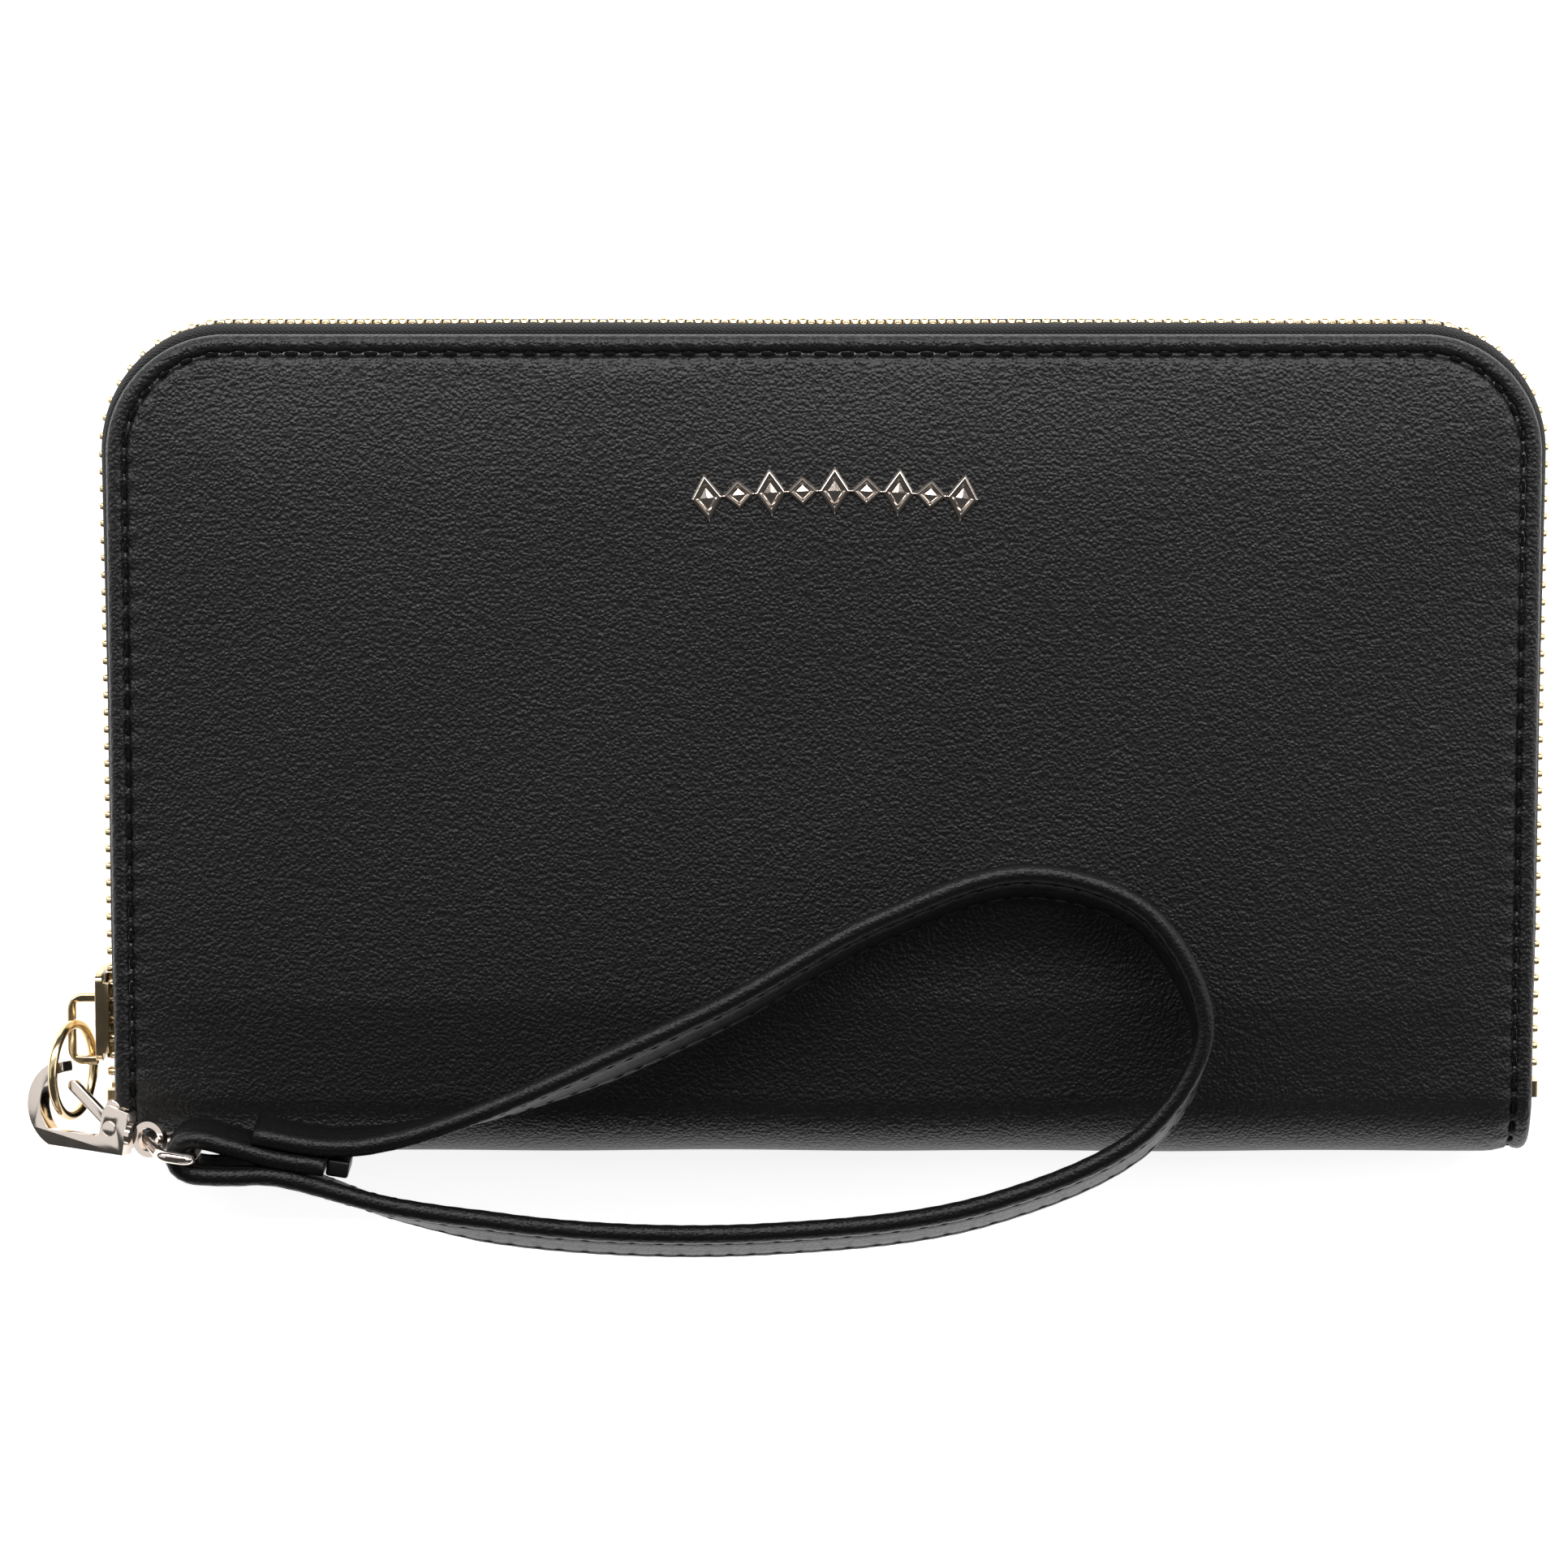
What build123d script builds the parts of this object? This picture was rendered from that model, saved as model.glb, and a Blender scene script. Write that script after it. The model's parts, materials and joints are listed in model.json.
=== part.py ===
from build123d import *
from math import cos, degrees, pi, radians, sin
import os

# Zip-around wallet lying on its back panel: X along the zip side to side,
# Y from the folded spine (-Y) to the zip (+Y), Z up out of the front panel.

# ---- driving sizes, millimetres ----
WIDTH = 190.5            # side to side, over the leather
HEIGHT = 111.3           # spine to top edge, over the leather
MIDDLE_Y = -1.15         # middle of the height
THICK = 20.0             # closed, over both covers
TOP_CORNER = 16.0        # plan radius of the two zip corners
LEATHER = 1.0
PADDING = 1.0
BOARD = 1.0
TAPE = 0.5               # woven zip tape
LINING = 0.5
LINING_INSET = 2.5
RIM = 1.2                # leather turned round the board's edge
EDGE_ROUND = 0.8         # rolled leather edge
FIT = 0.15               # gap left round pieces that are glued into a pocket
AIR = 0.35               # gap left between pieces that move
SEAM_INSET = 2.5         # stitch line in from the leather edge
THREAD = 0.6
THREAD_DEPTH = 0.35

# zip
TAPE_PROUD = 0.4         # tape's middle, out from the leather edge
TAPE_WALL = 0.6
TOOTH_PITCH = 2.32
TOOTH_LONG = 0.95
TOOTH_REACH = 0.5        # how far each row crosses the middle
TOOTH_TALL = 2.6
TOOTH_OUT = 1.6          # proud of the leather edge
TOOTH_IN = 0.9           # behind it
TOOTH_PART_LONG = 4.0    # how far from the slider the rows finish parting
STOP_WIDE = 1.6          # zip's end stops, along the tape
STOP_TALL = 2.2
STOP_ROOM = 3.5
STOP_ROUND = 0.4
TAPE_FLANGE = 8.0        # tape sewn between leather and lining
SLIDER_UP = 8.8          # slider's middle, closed, up from the spine's bend
SLIDER_LONG = 12.0
SLIDER_TALL = 9.4
SLIDER_PLATE = 1.0
SLIDER_LIP = 0.7         # the plates' edges that hold the tape
SLIDER_NECK = 0.8
SLIDER_ROUND = 1.2
BAIL_BAR = 1.2
BAIL_DEEP = 3.0          # room for the link ring, off the slider's plate
BAIL_LONG = 8.6
BAIL_ROUND = 2.2
BAIL_BELOW = 0.5         # bail's lower bar, below the slider's end

# wrist strap and its hardware
CLASP_TILT = 26.0
CLASP_YAW = -9.0
CLASP_THICK = 2.4
RIVET_FROM_EDGE = 0.15   # clasp's rivet, in from the leather edge
RIVET_BELOW = 4.6        # and below the spine's bend
RIVET_ABOVE = 2.5        # and above the front
RIVET_R = 1.0
WIRE = 1.3               # ring wire
LINK_SLACK = 1.95        # link ring's radius beyond half the reach from bail to hook
STRAP_WIDE = 11.0
STRAP_THICK = 2.5
STRAP_CLEAR = 2.3        # strap's lower edge above the front
D_WIRE = 1.6
POCKET_LONG = 11.0       # strap folded round the D-ring's bar
SPACER_SHY = 1.2         # spacer's ends, in from the strap's edges

# ---- worked out ----
MID = THICK / 2
SPINE_Y = MIDDLE_Y - HEIGHT / 2 + MID
TRAY = LEATHER + PADDING + BOARD
COVER = TRAY + TAPE + LINING
LEFT = -WIDTH / 2
RIGHT = WIDTH / 2
TOP = MIDDLE_Y + HEIGHT / 2
SLIDER_Y = SPINE_Y + SLIDER_UP
STRAP_Z = THICK + STRAP_CLEAR + STRAP_WIDE / 2
RIVET_AT = (LEFT + RIVET_FROM_EDGE, SPINE_Y - RIVET_BELOW, THICK + RIVET_ABOVE)
ZIP_END_Y = SPINE_Y - 3.0

os.makedirs("parts", exist_ok=True)


def save(built, label):
    built.part.label = label
    export_step(built.part, f"parts/{label}.step")


def panel(inset, low_y):
    """Cover outline, inset from the leather edge, down to low_y."""
    tall = TOP - inset - low_y
    with BuildSketch() as face:
        with Locations((0, low_y + tall / 2)):
            Rectangle(WIDTH - 2 * inset, tall)
        fillet(face.vertices().group_by(Axis.Y)[-1], TOP_CORNER - inset)
    return face.sketch


def u_band(outer, inner, low_y):
    """Band that runs up the left side, along the top and down the right."""
    with BuildSketch() as face:
        add(panel(outer, low_y))
        add(panel(inner, low_y - 1), mode=Mode.SUBTRACT)
    return face.sketch


def flat_piece(label, sketch, low_z, tall):
    with BuildPart() as piece:
        with BuildSketch(Plane.XY.offset(low_z)):
            add(sketch)
        extrude(amount=tall)
    save(piece, label)


def mirrored_z(low_z, tall, front):
    """The same layer in the back cover, or mirrored into the front one."""
    return THICK - low_z - tall if front else low_z


# ---- covers ----
def leather(label, front):
    flip = -1 if front else 1
    skin = Plane(origin=(0, 0, MID), x_dir=(0, 1, 0), z_dir=(1, 0, 0))
    outer = MID * flip
    inner = (MID - LEATHER) * flip
    with BuildPart() as cover:
        with BuildSketch(skin):
            with BuildLine():
                a = RadiusArc((SPINE_Y, -outer), (SPINE_Y - MID, 0), MID * flip)
                Line(a @ 1, (SPINE_Y - MID + LEATHER, 0))
                bend = -(MID - LEATHER) * flip
                b = RadiusArc((SPINE_Y - MID + LEATHER, 0), (SPINE_Y, -inner), bend)
                Line(b @ 1, (TOP, -inner))
                Line((TOP, -inner), (TOP, -outer))
                Line((TOP, -outer), a @ 0)
            make_face()
        extrude(amount=WIDTH / 2, both=True)
        fillet(cover.edges().filter_by(Axis.Z).group_by(Axis.Y)[-1], TOP_CORNER)
        low = mirrored_z(LEATHER, PADDING + BOARD, front)
        with BuildSketch(Plane.XY.offset(low)):
            add(u_band(0, RIM, SPINE_Y))
        extrude(amount=PADDING + BOARD)
        face_z = THICK if front else 0
        rim = cover.faces().filter_by(Axis.Z).sort_by(Axis.Z)[-1 if front else 0]
        fillet(rim.edges().filter_by(lambda e: e.center().Y > SPINE_Y + 1), EDGE_ROUND)
        with BuildSketch(Plane.XY.offset(face_z)):
            half = THREAD / 2 + FIT
            add(u_band(SEAM_INSET - half, SEAM_INSET + half, SPINE_Y))
        extrude(amount=THREAD_DEPTH * flip, mode=Mode.SUBTRACT)
    save(cover, label)


def seam(label, front):
    low = mirrored_z(FIT, THREAD_DEPTH - FIT, front)
    half = THREAD / 2
    flat_piece(label, u_band(SEAM_INSET - half, SEAM_INSET + half, SPINE_Y), low, THREAD_DEPTH - FIT)


for side, front in (("back", False), ("front", True)):
    leather(f"{side}_leather", front)
    seam(f"{side}_seam", front)
    inside = panel(RIM + FIT, SPINE_Y)
    flat_piece(f"{side}_padding", inside, mirrored_z(LEATHER, PADDING, front), PADDING)
    flat_piece(f"{side}_board", inside, mirrored_z(LEATHER + PADDING, BOARD, front), BOARD)
    flat_piece(f"{side}_lining", panel(LINING_INSET, SPINE_Y), mirrored_z(TRAY + TAPE, LINING, front), LINING)


# ---- zip ----
def tape(label, front):
    """Flange sewn under the cover's rim, and the wall that stands up to the teeth."""
    wall_top = MID - TOOTH_TALL + TOOTH_REACH
    with BuildPart() as strip:
        with BuildSketch(Plane.XY.offset(mirrored_z(TRAY, TAPE, front))):
            add(u_band(-TAPE_PROUD - TAPE_WALL / 2, TAPE_FLANGE, SPINE_Y))
        extrude(amount=TAPE)
        with BuildSketch(Plane.XY.offset(mirrored_z(TRAY + TAPE, wall_top - TRAY - TAPE, front))):
            add(u_band(-TAPE_PROUD - TAPE_WALL / 2, -TAPE_PROUD + TAPE_WALL / 2, SPINE_Y))
        extrude(amount=wall_top - TRAY - TAPE)
    save(strip, label)


def zip_spot(run, rise):
    """Place on the zip's line at a distance run from its lower left end."""
    straight = TOP - TOP_CORNER - ZIP_END_Y
    corner = TOP_CORNER * pi / 2
    across = WIDTH - 2 * TOP_CORNER
    if run < straight:
        return Location((LEFT, ZIP_END_Y + run, rise), (0, 0, 180))
    if run < straight + corner:
        turn = 180 - degrees((run - straight) / TOP_CORNER)
        centre = (LEFT + TOP_CORNER, TOP - TOP_CORNER)
    elif run < straight + corner + across:
        return Location((LEFT + TOP_CORNER + run - straight - corner, TOP, rise), (0, 0, 90))
    elif run < straight + 2 * corner + across:
        turn = 90 - degrees((run - straight - corner - across) / TOP_CORNER)
        centre = (RIGHT - TOP_CORNER, TOP - TOP_CORNER)
    else:
        return Location((RIGHT, TOP - TOP_CORNER - (run - straight - 2 * corner - across), rise))
    x = centre[0] + TOP_CORNER * cos(radians(turn))
    y = centre[1] + TOP_CORNER * sin(radians(turn))
    return Location((x, y, rise), (0, 0, turn))


ZIP_LONG = 2 * (TOP - TOP_CORNER - ZIP_END_Y) + TOP_CORNER * pi + WIDTH - 2 * TOP_CORNER
LEFT_RUN = TOP - TOP_CORNER - ZIP_END_Y
SPLIT_Y = SLIDER_Y + 1.0     # rows part below this
SPREAD = 1.6                 # how far each row is pushed out by the slider's neck


def teeth(label, front, first_run, last_run):
    flip = 1 if front else -1
    phase = TOOTH_PITCH / 2 if front else 0
    spots = []
    for k in range(int(ZIP_LONG / TOOTH_PITCH)):
        run = k * TOOTH_PITCH + phase + 0.6
        if not first_run <= run < last_run:
            continue
        below = SPLIT_Y - (ZIP_END_Y + run) if run < LEFT_RUN else 0
        part_by = SPREAD * min(max(below / TOOTH_PART_LONG, 0), 1)
        middle = MID + flip * (TOOTH_TALL / 2 - TOOTH_REACH + part_by)
        spots.append(zip_spot(run, middle))
    with BuildPart() as row:
        with Locations(*spots):
            with Locations(((TOOTH_OUT - TOOTH_IN) / 2, 0, 0)):
                Box(TOOTH_OUT + TOOTH_IN, TOOTH_LONG, TOOTH_TALL)
    save(row, label)


for side, front in (("back", False), ("front", True)):
    tape(f"zip_tape_{side}", front)
    teeth(f"zip_teeth_{side}_left", front, 2.0, LEFT_RUN)
    teeth(f"zip_teeth_{side}", front, LEFT_RUN, ZIP_LONG - STOP_ROOM)
    flip = 1 if front else -1
    with BuildPart(Plane((LEFT, ZIP_END_Y + 1.0, MID + flip * (SPREAD + 1.2)))) as stop:
        with Locations(((TOOTH_IN - TOOTH_OUT) / 2, 0, 0)):
            Box(TOOTH_OUT + TOOTH_IN, STOP_WIDE, STOP_TALL)
        fillet(stop.edges().filter_by(Axis.Y), STOP_ROUND)
    save(stop, f"zip_top_stop_{side}")

with BuildPart(Plane((RIGHT, ZIP_END_Y + 1.6, MID))) as bottom_stop:
    with Locations(((TOOTH_OUT - TOOTH_IN) / 2, 0, 0)):
        Box(TOOTH_OUT + TOOTH_IN, STOP_TALL, 2 * (TOOTH_TALL - TOOTH_REACH) - 0.2)
    fillet(bottom_stop.edges().filter_by(Axis.Y), STOP_ROUND)
save(bottom_stop, "zip_bottom_stop")

# slider: two plates joined by a neck, with a bail outside for the link ring
PLATE_OUT = LEFT - TOOTH_OUT - AIR
PLATE_IN = LEFT + TOOTH_IN + AIR
TAPE_X = LEFT - TAPE_PROUD
BAIL_Z = MID + 0.1
BAIL_FOOT = PLATE_OUT - SLIDER_PLATE
BAIL_OUT = BAIL_FOOT - BAIL_DEEP
BAIL_Y = SLIDER_Y - SLIDER_LONG / 2 - BAIL_BELOW + BAIL_LONG / 2
with BuildPart() as slider_body:
    for face_x, plate_x, lip_x in (
        (PLATE_OUT, PLATE_OUT - SLIDER_PLATE, TAPE_X - TAPE_WALL / 2 - AIR),
        (PLATE_IN, PLATE_IN + SLIDER_PLATE, TAPE_X + TAPE_WALL / 2 + AIR),
    ):
        with BuildSketch(Plane(origin=(face_x, SLIDER_Y, MID), x_dir=(0, 1, 0), z_dir=(1, 0, 0))):
            RectangleRounded(SLIDER_LONG, SLIDER_TALL, SLIDER_ROUND)
        extrude(amount=plate_x - face_x)
        for z in (MID - SLIDER_TALL / 2 + SLIDER_LIP / 2, MID + SLIDER_TALL / 2 - SLIDER_LIP / 2):
            with Locations(((face_x + lip_x) / 2, SLIDER_Y, z)):
                Box(abs(lip_x - face_x), SLIDER_LONG - 2 * SLIDER_ROUND, SLIDER_LIP)
    with Locations(((PLATE_IN + PLATE_OUT) / 2, SLIDER_Y - SLIDER_LONG / 2 + SLIDER_ROUND + 0.2, MID)):
        Cylinder(SLIDER_NECK, PLATE_IN - PLATE_OUT, rotation=(0, 90, 0))
save(slider_body, "slider_body")

with BuildPart(Plane((0, 0, BAIL_Z))) as slider_bail:
    with Locations(((BAIL_FOOT + BAIL_OUT - BAIL_BAR) / 2, BAIL_Y, 0)):
        Box(BAIL_DEEP + BAIL_BAR, BAIL_LONG + BAIL_BAR, BAIL_BAR)
    with Locations(((BAIL_FOOT + BAIL_OUT) / 2, BAIL_Y, 0)):
        Box(BAIL_DEEP, BAIL_LONG - BAIL_BAR, BAIL_BAR, mode=Mode.SUBTRACT)
    fillet(slider_bail.edges().filter_by(Axis.Z).group_by(Axis.X)[0], BAIL_ROUND)
save(slider_bail, "slider_bail")

# ---- inside ----
PLY = 0.5
PLIES = 4
PLY_STEP = 9.0
CARD_SIDE = 9.25          # from the leather edge to the card pockets
CARD_WIDE = WIDTH - 2 * CARD_SIDE
CARD_LOW = SPINE_Y + 4.0
CARD_ROOM = 8.3           # above the tallest card pocket
CARD_TALL = TOP - CARD_ROOM - CARD_LOW - (PLIES - 1) * PLY_STEP
for side, front in (("back", False), ("front", True)):
    for n in range(PLIES):
        tall = CARD_TALL + (PLIES - 1 - n) * PLY_STEP
        with BuildPart() as ply:
            with BuildSketch(Plane.XY.offset(mirrored_z(COVER + n * PLY, PLY, front))):
                with Locations((0, CARD_LOW + tall / 2)):
                    RectangleRounded(CARD_WIDE, tall, 3)
            extrude(amount=PLY)
        save(ply, f"card_pocket_{side}_{n + 1}")

POCKET_THICK = 3.4
POCKET_SKIN = 0.7
POCKET_SIDE = 11.25
POCKET_WIDE = WIDTH - 2 * POCKET_SIDE
POCKET_ROOM = 15.3        # above the coin pocket
POCKET_LOW = SPINE_Y + 2.0
POCKET_TOP = TOP - POCKET_ROOM
POCKET_TALL = POCKET_TOP - POCKET_LOW
for label, low_z in (
    ("coin_pocket_back", MID - POCKET_THICK / 2),
    ("coin_pocket_front", MID + POCKET_THICK / 2 - POCKET_SKIN),
):
    with BuildPart() as skin:
        with BuildSketch(Plane.XY.offset(low_z)):
            with Locations((0, POCKET_LOW + POCKET_TALL / 2)):
                RectangleRounded(POCKET_WIDE, POCKET_TALL, 3)
        extrude(amount=POCKET_SKIN)
    save(skin, label)

GAP = POCKET_THICK - 2 * POCKET_SKIN
with BuildPart() as binding:
    with BuildSketch(Plane.XY.offset(MID - GAP / 2)):
        with Locations((0, POCKET_LOW + POCKET_TALL / 2)):
            Rectangle(POCKET_WIDE, POCKET_TALL)
        with Locations((0, POCKET_LOW + POCKET_TALL / 2 + 3)):
            Rectangle(POCKET_WIDE - 8, POCKET_TALL, mode=Mode.SUBTRACT)
    extrude(amount=GAP)
save(binding, "coin_pocket_binding")

COIN_ZIP_Y = POCKET_TOP - 1.6
COIN_ZIP_LONG = POCKET_WIDE - 12
COIN_PITCH = 2.0
for side, flip in (("back", -1), ("front", 1)):
    with BuildPart() as coin_row:
        for k in range(int(COIN_ZIP_LONG / COIN_PITCH)):
            x = -COIN_ZIP_LONG / 2 + COIN_PITCH * (k + 0.5 + flip * 0.25)
            with Locations((x, COIN_ZIP_Y, MID + flip * 0.4)):
                Box(0.8, 2.4, 1.1)
    save(coin_row, f"coin_zip_teeth_{side}")

COIN_SLIDER_X = -COIN_ZIP_LONG / 2 + 5
COIN_TRAVEL = COIN_ZIP_LONG - 12
with BuildPart(Plane((COIN_SLIDER_X, POCKET_TOP, MID))) as coin_slider:
    with Locations((0, AIR + 0.5, 0)):
        Box(7, 1.0, GAP + 2 * POCKET_SKIN)
    fillet(coin_slider.edges().filter_by(Axis.Y), 0.9)
    with Locations((0, AIR + 1.9, 0)):
        Box(3.6, 1.8, 0.9)
    with Locations((0, AIR + 1.7, 0)):
        Box(1.9, 1.0, 2, mode=Mode.SUBTRACT)
save(coin_slider, "coin_slider")

with BuildPart(Plane((COIN_SLIDER_X, POCKET_TOP + AIR + 1.7, MID))) as coin_pull:
    Cylinder(0.35, 3.4)
    for z in (-1.5, 1.5):
        with Locations((0, 2.4, z)):
            Box(1.3, 5.4, 0.5)
    with Locations((0, 4.7, 0)):
        Box(1.3, 0.8, 3.4)
save(coin_pull, "coin_pull")

TAPE_SKIN = 0.35
for side, flip in (("back", -1), ("front", 1)):
    with BuildPart() as coin_tape:
        with Locations((0, COIN_ZIP_Y - 1.2 - 2.5, MID + flip * (GAP / 2 - TAPE_SKIN / 2))):
            Box(COIN_ZIP_LONG, 5.0, TAPE_SKIN)
    save(coin_tape, f"coin_zip_tape_{side}")

DIVIDER = 0.5
for side, front in (("back", False), ("front", True)):
    with BuildPart() as divider:
        with BuildSketch(Plane.XY.offset(mirrored_z(COVER + PLIES * PLY + 0.8, DIVIDER, front))):
            with Locations((0, POCKET_LOW + POCKET_TALL / 2)):
                RectangleRounded(CARD_WIDE, POCKET_TALL, 3)
        extrude(amount=DIVIDER)
    save(divider, f"bill_divider_{side}")

# side gussets: paper-fold strips between the two linings
FOLDS = 4
GUSSET_DEEP = 3.6
GUSSET_SKIN = 0.4
GUSSET_SHORT = 6.0        # shorter than the coin pocket
GUSSET_TALL = POCKET_TALL - GUSSET_SHORT
for side, sign in (("left", -1), ("right", 1)):
    room = THICK - 2 * COVER
    step = room / FOLDS
    root_x = sign * (CARD_WIDE / 2 + 0.6)
    with BuildPart() as gusset:
        with BuildSketch(Plane.XZ.offset(-(POCKET_LOW + GUSSET_TALL))):
            with BuildLine():
                points = []
                for n in range(FOLDS + 1):
                    points.append((root_x + sign * GUSSET_DEEP * (n % 2), COVER + n * step))
                back = [(x + GUSSET_SKIN, z) for x, z in reversed(points)]
                Polyline(*points, *back, close=True)
            make_face()
        extrude(amount=GUSSET_TALL)
    save(gusset, f"gusset_{side}")

# lining of the spine, inside the fold
SPINE_LINING_R = MID - LEATHER - 1.0
with BuildPart() as spine_lining:
    with BuildSketch(Plane.YZ):
        with Locations((SPINE_Y - AIR, MID)):
            Circle(SPINE_LINING_R)
            Circle(SPINE_LINING_R - LINING, mode=Mode.SUBTRACT)
            with Locations((MID, 0)):
                Rectangle(2 * MID, 3 * MID, mode=Mode.SUBTRACT)
    extrude(amount=WIDTH / 2 - 6, both=True)
save(spine_lining, "spine_lining")

# ---- ornament on the front: an arched bar with a row of lozenges ----
ORNAMENT_X = 1.4
ORNAMENT_DOWN = 20.5      # from the top edge
ORNAMENT_Y = TOP - ORNAMENT_DOWN
ORNAMENT_WIDE = 39.0
ORNAMENT_TALL = 6.5
ARCH_R = 150.0
LOZENGES = 9
arch_centre = (ORNAMENT_X, ORNAMENT_Y - ARCH_R)
with BuildPart() as ornament:
    with BuildSketch(Plane.XY.offset(THICK)):
        spread = degrees(ORNAMENT_WIDE / ARCH_R)
        for n in range(LOZENGES):
            angle = 90 + spread * 0.87 * (n / (LOZENGES - 1) - 0.5)
            x = arch_centre[0] + ARCH_R * cos(radians(angle))
            y = arch_centre[1] + ARCH_R * sin(radians(angle))
            tall = ORNAMENT_TALL if n % 2 == 0 else ORNAMENT_TALL * 0.6
            with Locations(Location((x, y, 0), (0, 0, angle - 90))):
                Polygon((-2.2, 0), (0, -tall / 2), (2.2, 0), (0, tall / 2))
                Rectangle(4.6, 0.9)
    extrude(amount=0.9)
save(ornament, "ornament")

with BuildPart(Plane.XY.offset(THICK - TRAY)) as ornament_rivets:
    with Locations((ORNAMENT_X - 14, ORNAMENT_Y - 0.6), (ORNAMENT_X + 14, ORNAMENT_Y - 0.6)):
        Cylinder(0.6, TRAY, align=(Align.CENTER, Align.CENTER, Align.MIN))
save(ornament_rivets, "ornament_rivets")

# ---- link ring: through the slider's bail and the clasp's hook ----
RING_LEAN = 20.0
HOOK_Z = RIVET_AT[2] - 3.9       # where the hook lies on the ring
RING_OUT = 6.05                  # ring's middle, out from the leather edge
RING_BELOW = 7.1                 # and below the slider's middle
LINK_R = (HOOK_Z - BAIL_Z) / 2 + LINK_SLACK
RING_AT = (LEFT - RING_OUT, SLIDER_Y - RING_BELOW, (HOOK_Z + BAIL_Z) / 2 + 0.05)
ring_plane = Plane(
    origin=RING_AT,
    x_dir=(0, -1, 0),
    z_dir=(cos(radians(RING_LEAN)), 0, sin(radians(RING_LEAN))),
)
with BuildPart(ring_plane) as link_ring:
    Torus(LINK_R, WIRE / 2)
save(link_ring, "link_ring")

# ---- clasp, in its own plane: u along the swivel's axis, towards the strap ----
tilt = radians(CLASP_TILT)
yaw = radians(CLASP_YAW)
clasp_plane = Plane(
    origin=RIVET_AT,
    x_dir=(cos(tilt) * cos(yaw), cos(tilt) * sin(yaw), sin(tilt)),
    z_dir=(-sin(tilt) * cos(yaw), -sin(tilt) * sin(yaw), cos(tilt)),
)
GATE_THICK = 1.0
GATE_ANGLE = 149.0
GATE_LONG = 8.6
with BuildPart(clasp_plane) as clasp_hook:
    with BuildSketch(clasp_plane):
        with BuildLine():
            Polyline((-1.4, 2.4), (-0.6, 3.0), (2.6, 2.6), (2.6, -3.2), (-8.9, -4.3))
            ThreePointArc((-8.9, -4.3), (-13.1, 0.9), (-10.9, 6.2))
            Polyline((-10.9, 6.2), (-8.6, 7.2), (-8.2, 5.9), (-10.0, 4.9))
            ThreePointArc((-10.0, 4.9), (-11.1, 1.0), (-9.2, -2.2))
            Polyline((-9.2, -2.2), (-1.4, -1.5), (-1.4, 2.4))
        make_face()
    extrude(amount=CLASP_THICK / 2, both=True)
    with BuildSketch(clasp_plane):
        with Locations((-0.7, 1.0)):
            Rectangle(4.6, 5.6)
    extrude(amount=GATE_THICK / 2 + 0.1, both=True, mode=Mode.SUBTRACT)
    Cylinder(RIVET_R + 0.05, 2 * CLASP_THICK, mode=Mode.SUBTRACT)
save(clasp_hook, "clasp_hook")

with BuildPart(clasp_plane) as clasp_gate:
    with BuildSketch(clasp_plane):
        Circle(1.5)
        with Locations(Location((0, 0, 0), (0, 0, GATE_ANGLE))):
            with Locations((GATE_LONG / 2, 0)):
                SlotOverall(GATE_LONG + 0.6, 1.6)
        with Locations((-0.4, 2.6)):
            Circle(1.1)
    extrude(amount=GATE_THICK / 2, both=True)
    Cylinder(RIVET_R + 0.05, CLASP_THICK, mode=Mode.SUBTRACT)
save(clasp_gate, "clasp_gate")

with BuildPart(clasp_plane) as clasp_rivet:
    Cylinder(RIVET_R, CLASP_THICK + 0.2)
save(clasp_rivet, "clasp_rivet")

# swivel: a pin in the clasp's end block, with an eye for the D-ring
EYE_U = 4.6
EYE_OUT = 2.4
EYE_HOLE = 1.6
EYE_THICK = 1.1
with BuildPart(clasp_plane) as swivel_eye:
    with Locations(Location((3.05, -0.3, 0), (0, 90, 0))):
        Cylinder(1.7, 0.7)
    with Locations((EYE_U + 1.2, -0.3, 0)):
        Cylinder(EYE_OUT, EYE_THICK)
        Cylinder(EYE_HOLE, 2 * EYE_THICK, mode=Mode.SUBTRACT)
save(swivel_eye, "swivel_eye")

# ---- D-ring, upright, its straight bar carries the strap ----
strap_dir = (cos(yaw), sin(yaw), 0)
EYE_AT = clasp_plane.from_local_coords(Vector(EYE_U + 1.2, -0.3, 0))
d_plane = Plane(
    origin=(EYE_AT.X, EYE_AT.Y, STRAP_Z),
    x_dir=strap_dir,
    z_dir=(sin(yaw), -cos(yaw), 0),
)
D_ROOM = 2.75             # from the folded strap to the ring's narrow end
D_DEEP = D_WIRE / 2 + AIR + STRAP_THICK + D_ROOM
D_TALL = STRAP_WIDE + 1.2 + D_WIRE
D_ROUND = 1.6
eye_drop = EYE_AT.Z - STRAP_Z
with BuildPart() as d_ring:
    with BuildLine(d_plane) as d_path:
        corner_top = (D_DEEP, D_TALL / 2)
        corner_low = (D_DEEP, -D_TALL / 2)
        FilletPolyline(
            corner_low,
            (2.4, -D_TALL / 2),
            (0, eye_drop - 1.9),
            (0, eye_drop + 1.9),
            (2.4, D_TALL / 2),
            corner_top,
            radius=D_ROUND,
            close=True,
        )
    with BuildSketch(Plane(origin=d_path.line @ 0, z_dir=d_path.line % 0)):
        Circle(D_WIRE / 2)
    sweep()
save(d_ring, "d_ring")

# ---- strap: one band; an end folds round the bar, the loop's far end lies on it ----
bar_at = d_plane.from_local_coords(Vector(D_DEEP, 0, 0))
fold_plane = Plane(origin=(bar_at.X, bar_at.Y, 0), x_dir=strap_dir, z_dir=(0, 0, 1))
FOLD_R = D_WIRE / 2 + AIR + STRAP_THICK / 2
LAYER = STRAP_THICK / 2 + 0.1
FOLD_LONG = 17.5
END_B = 7.5


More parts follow.
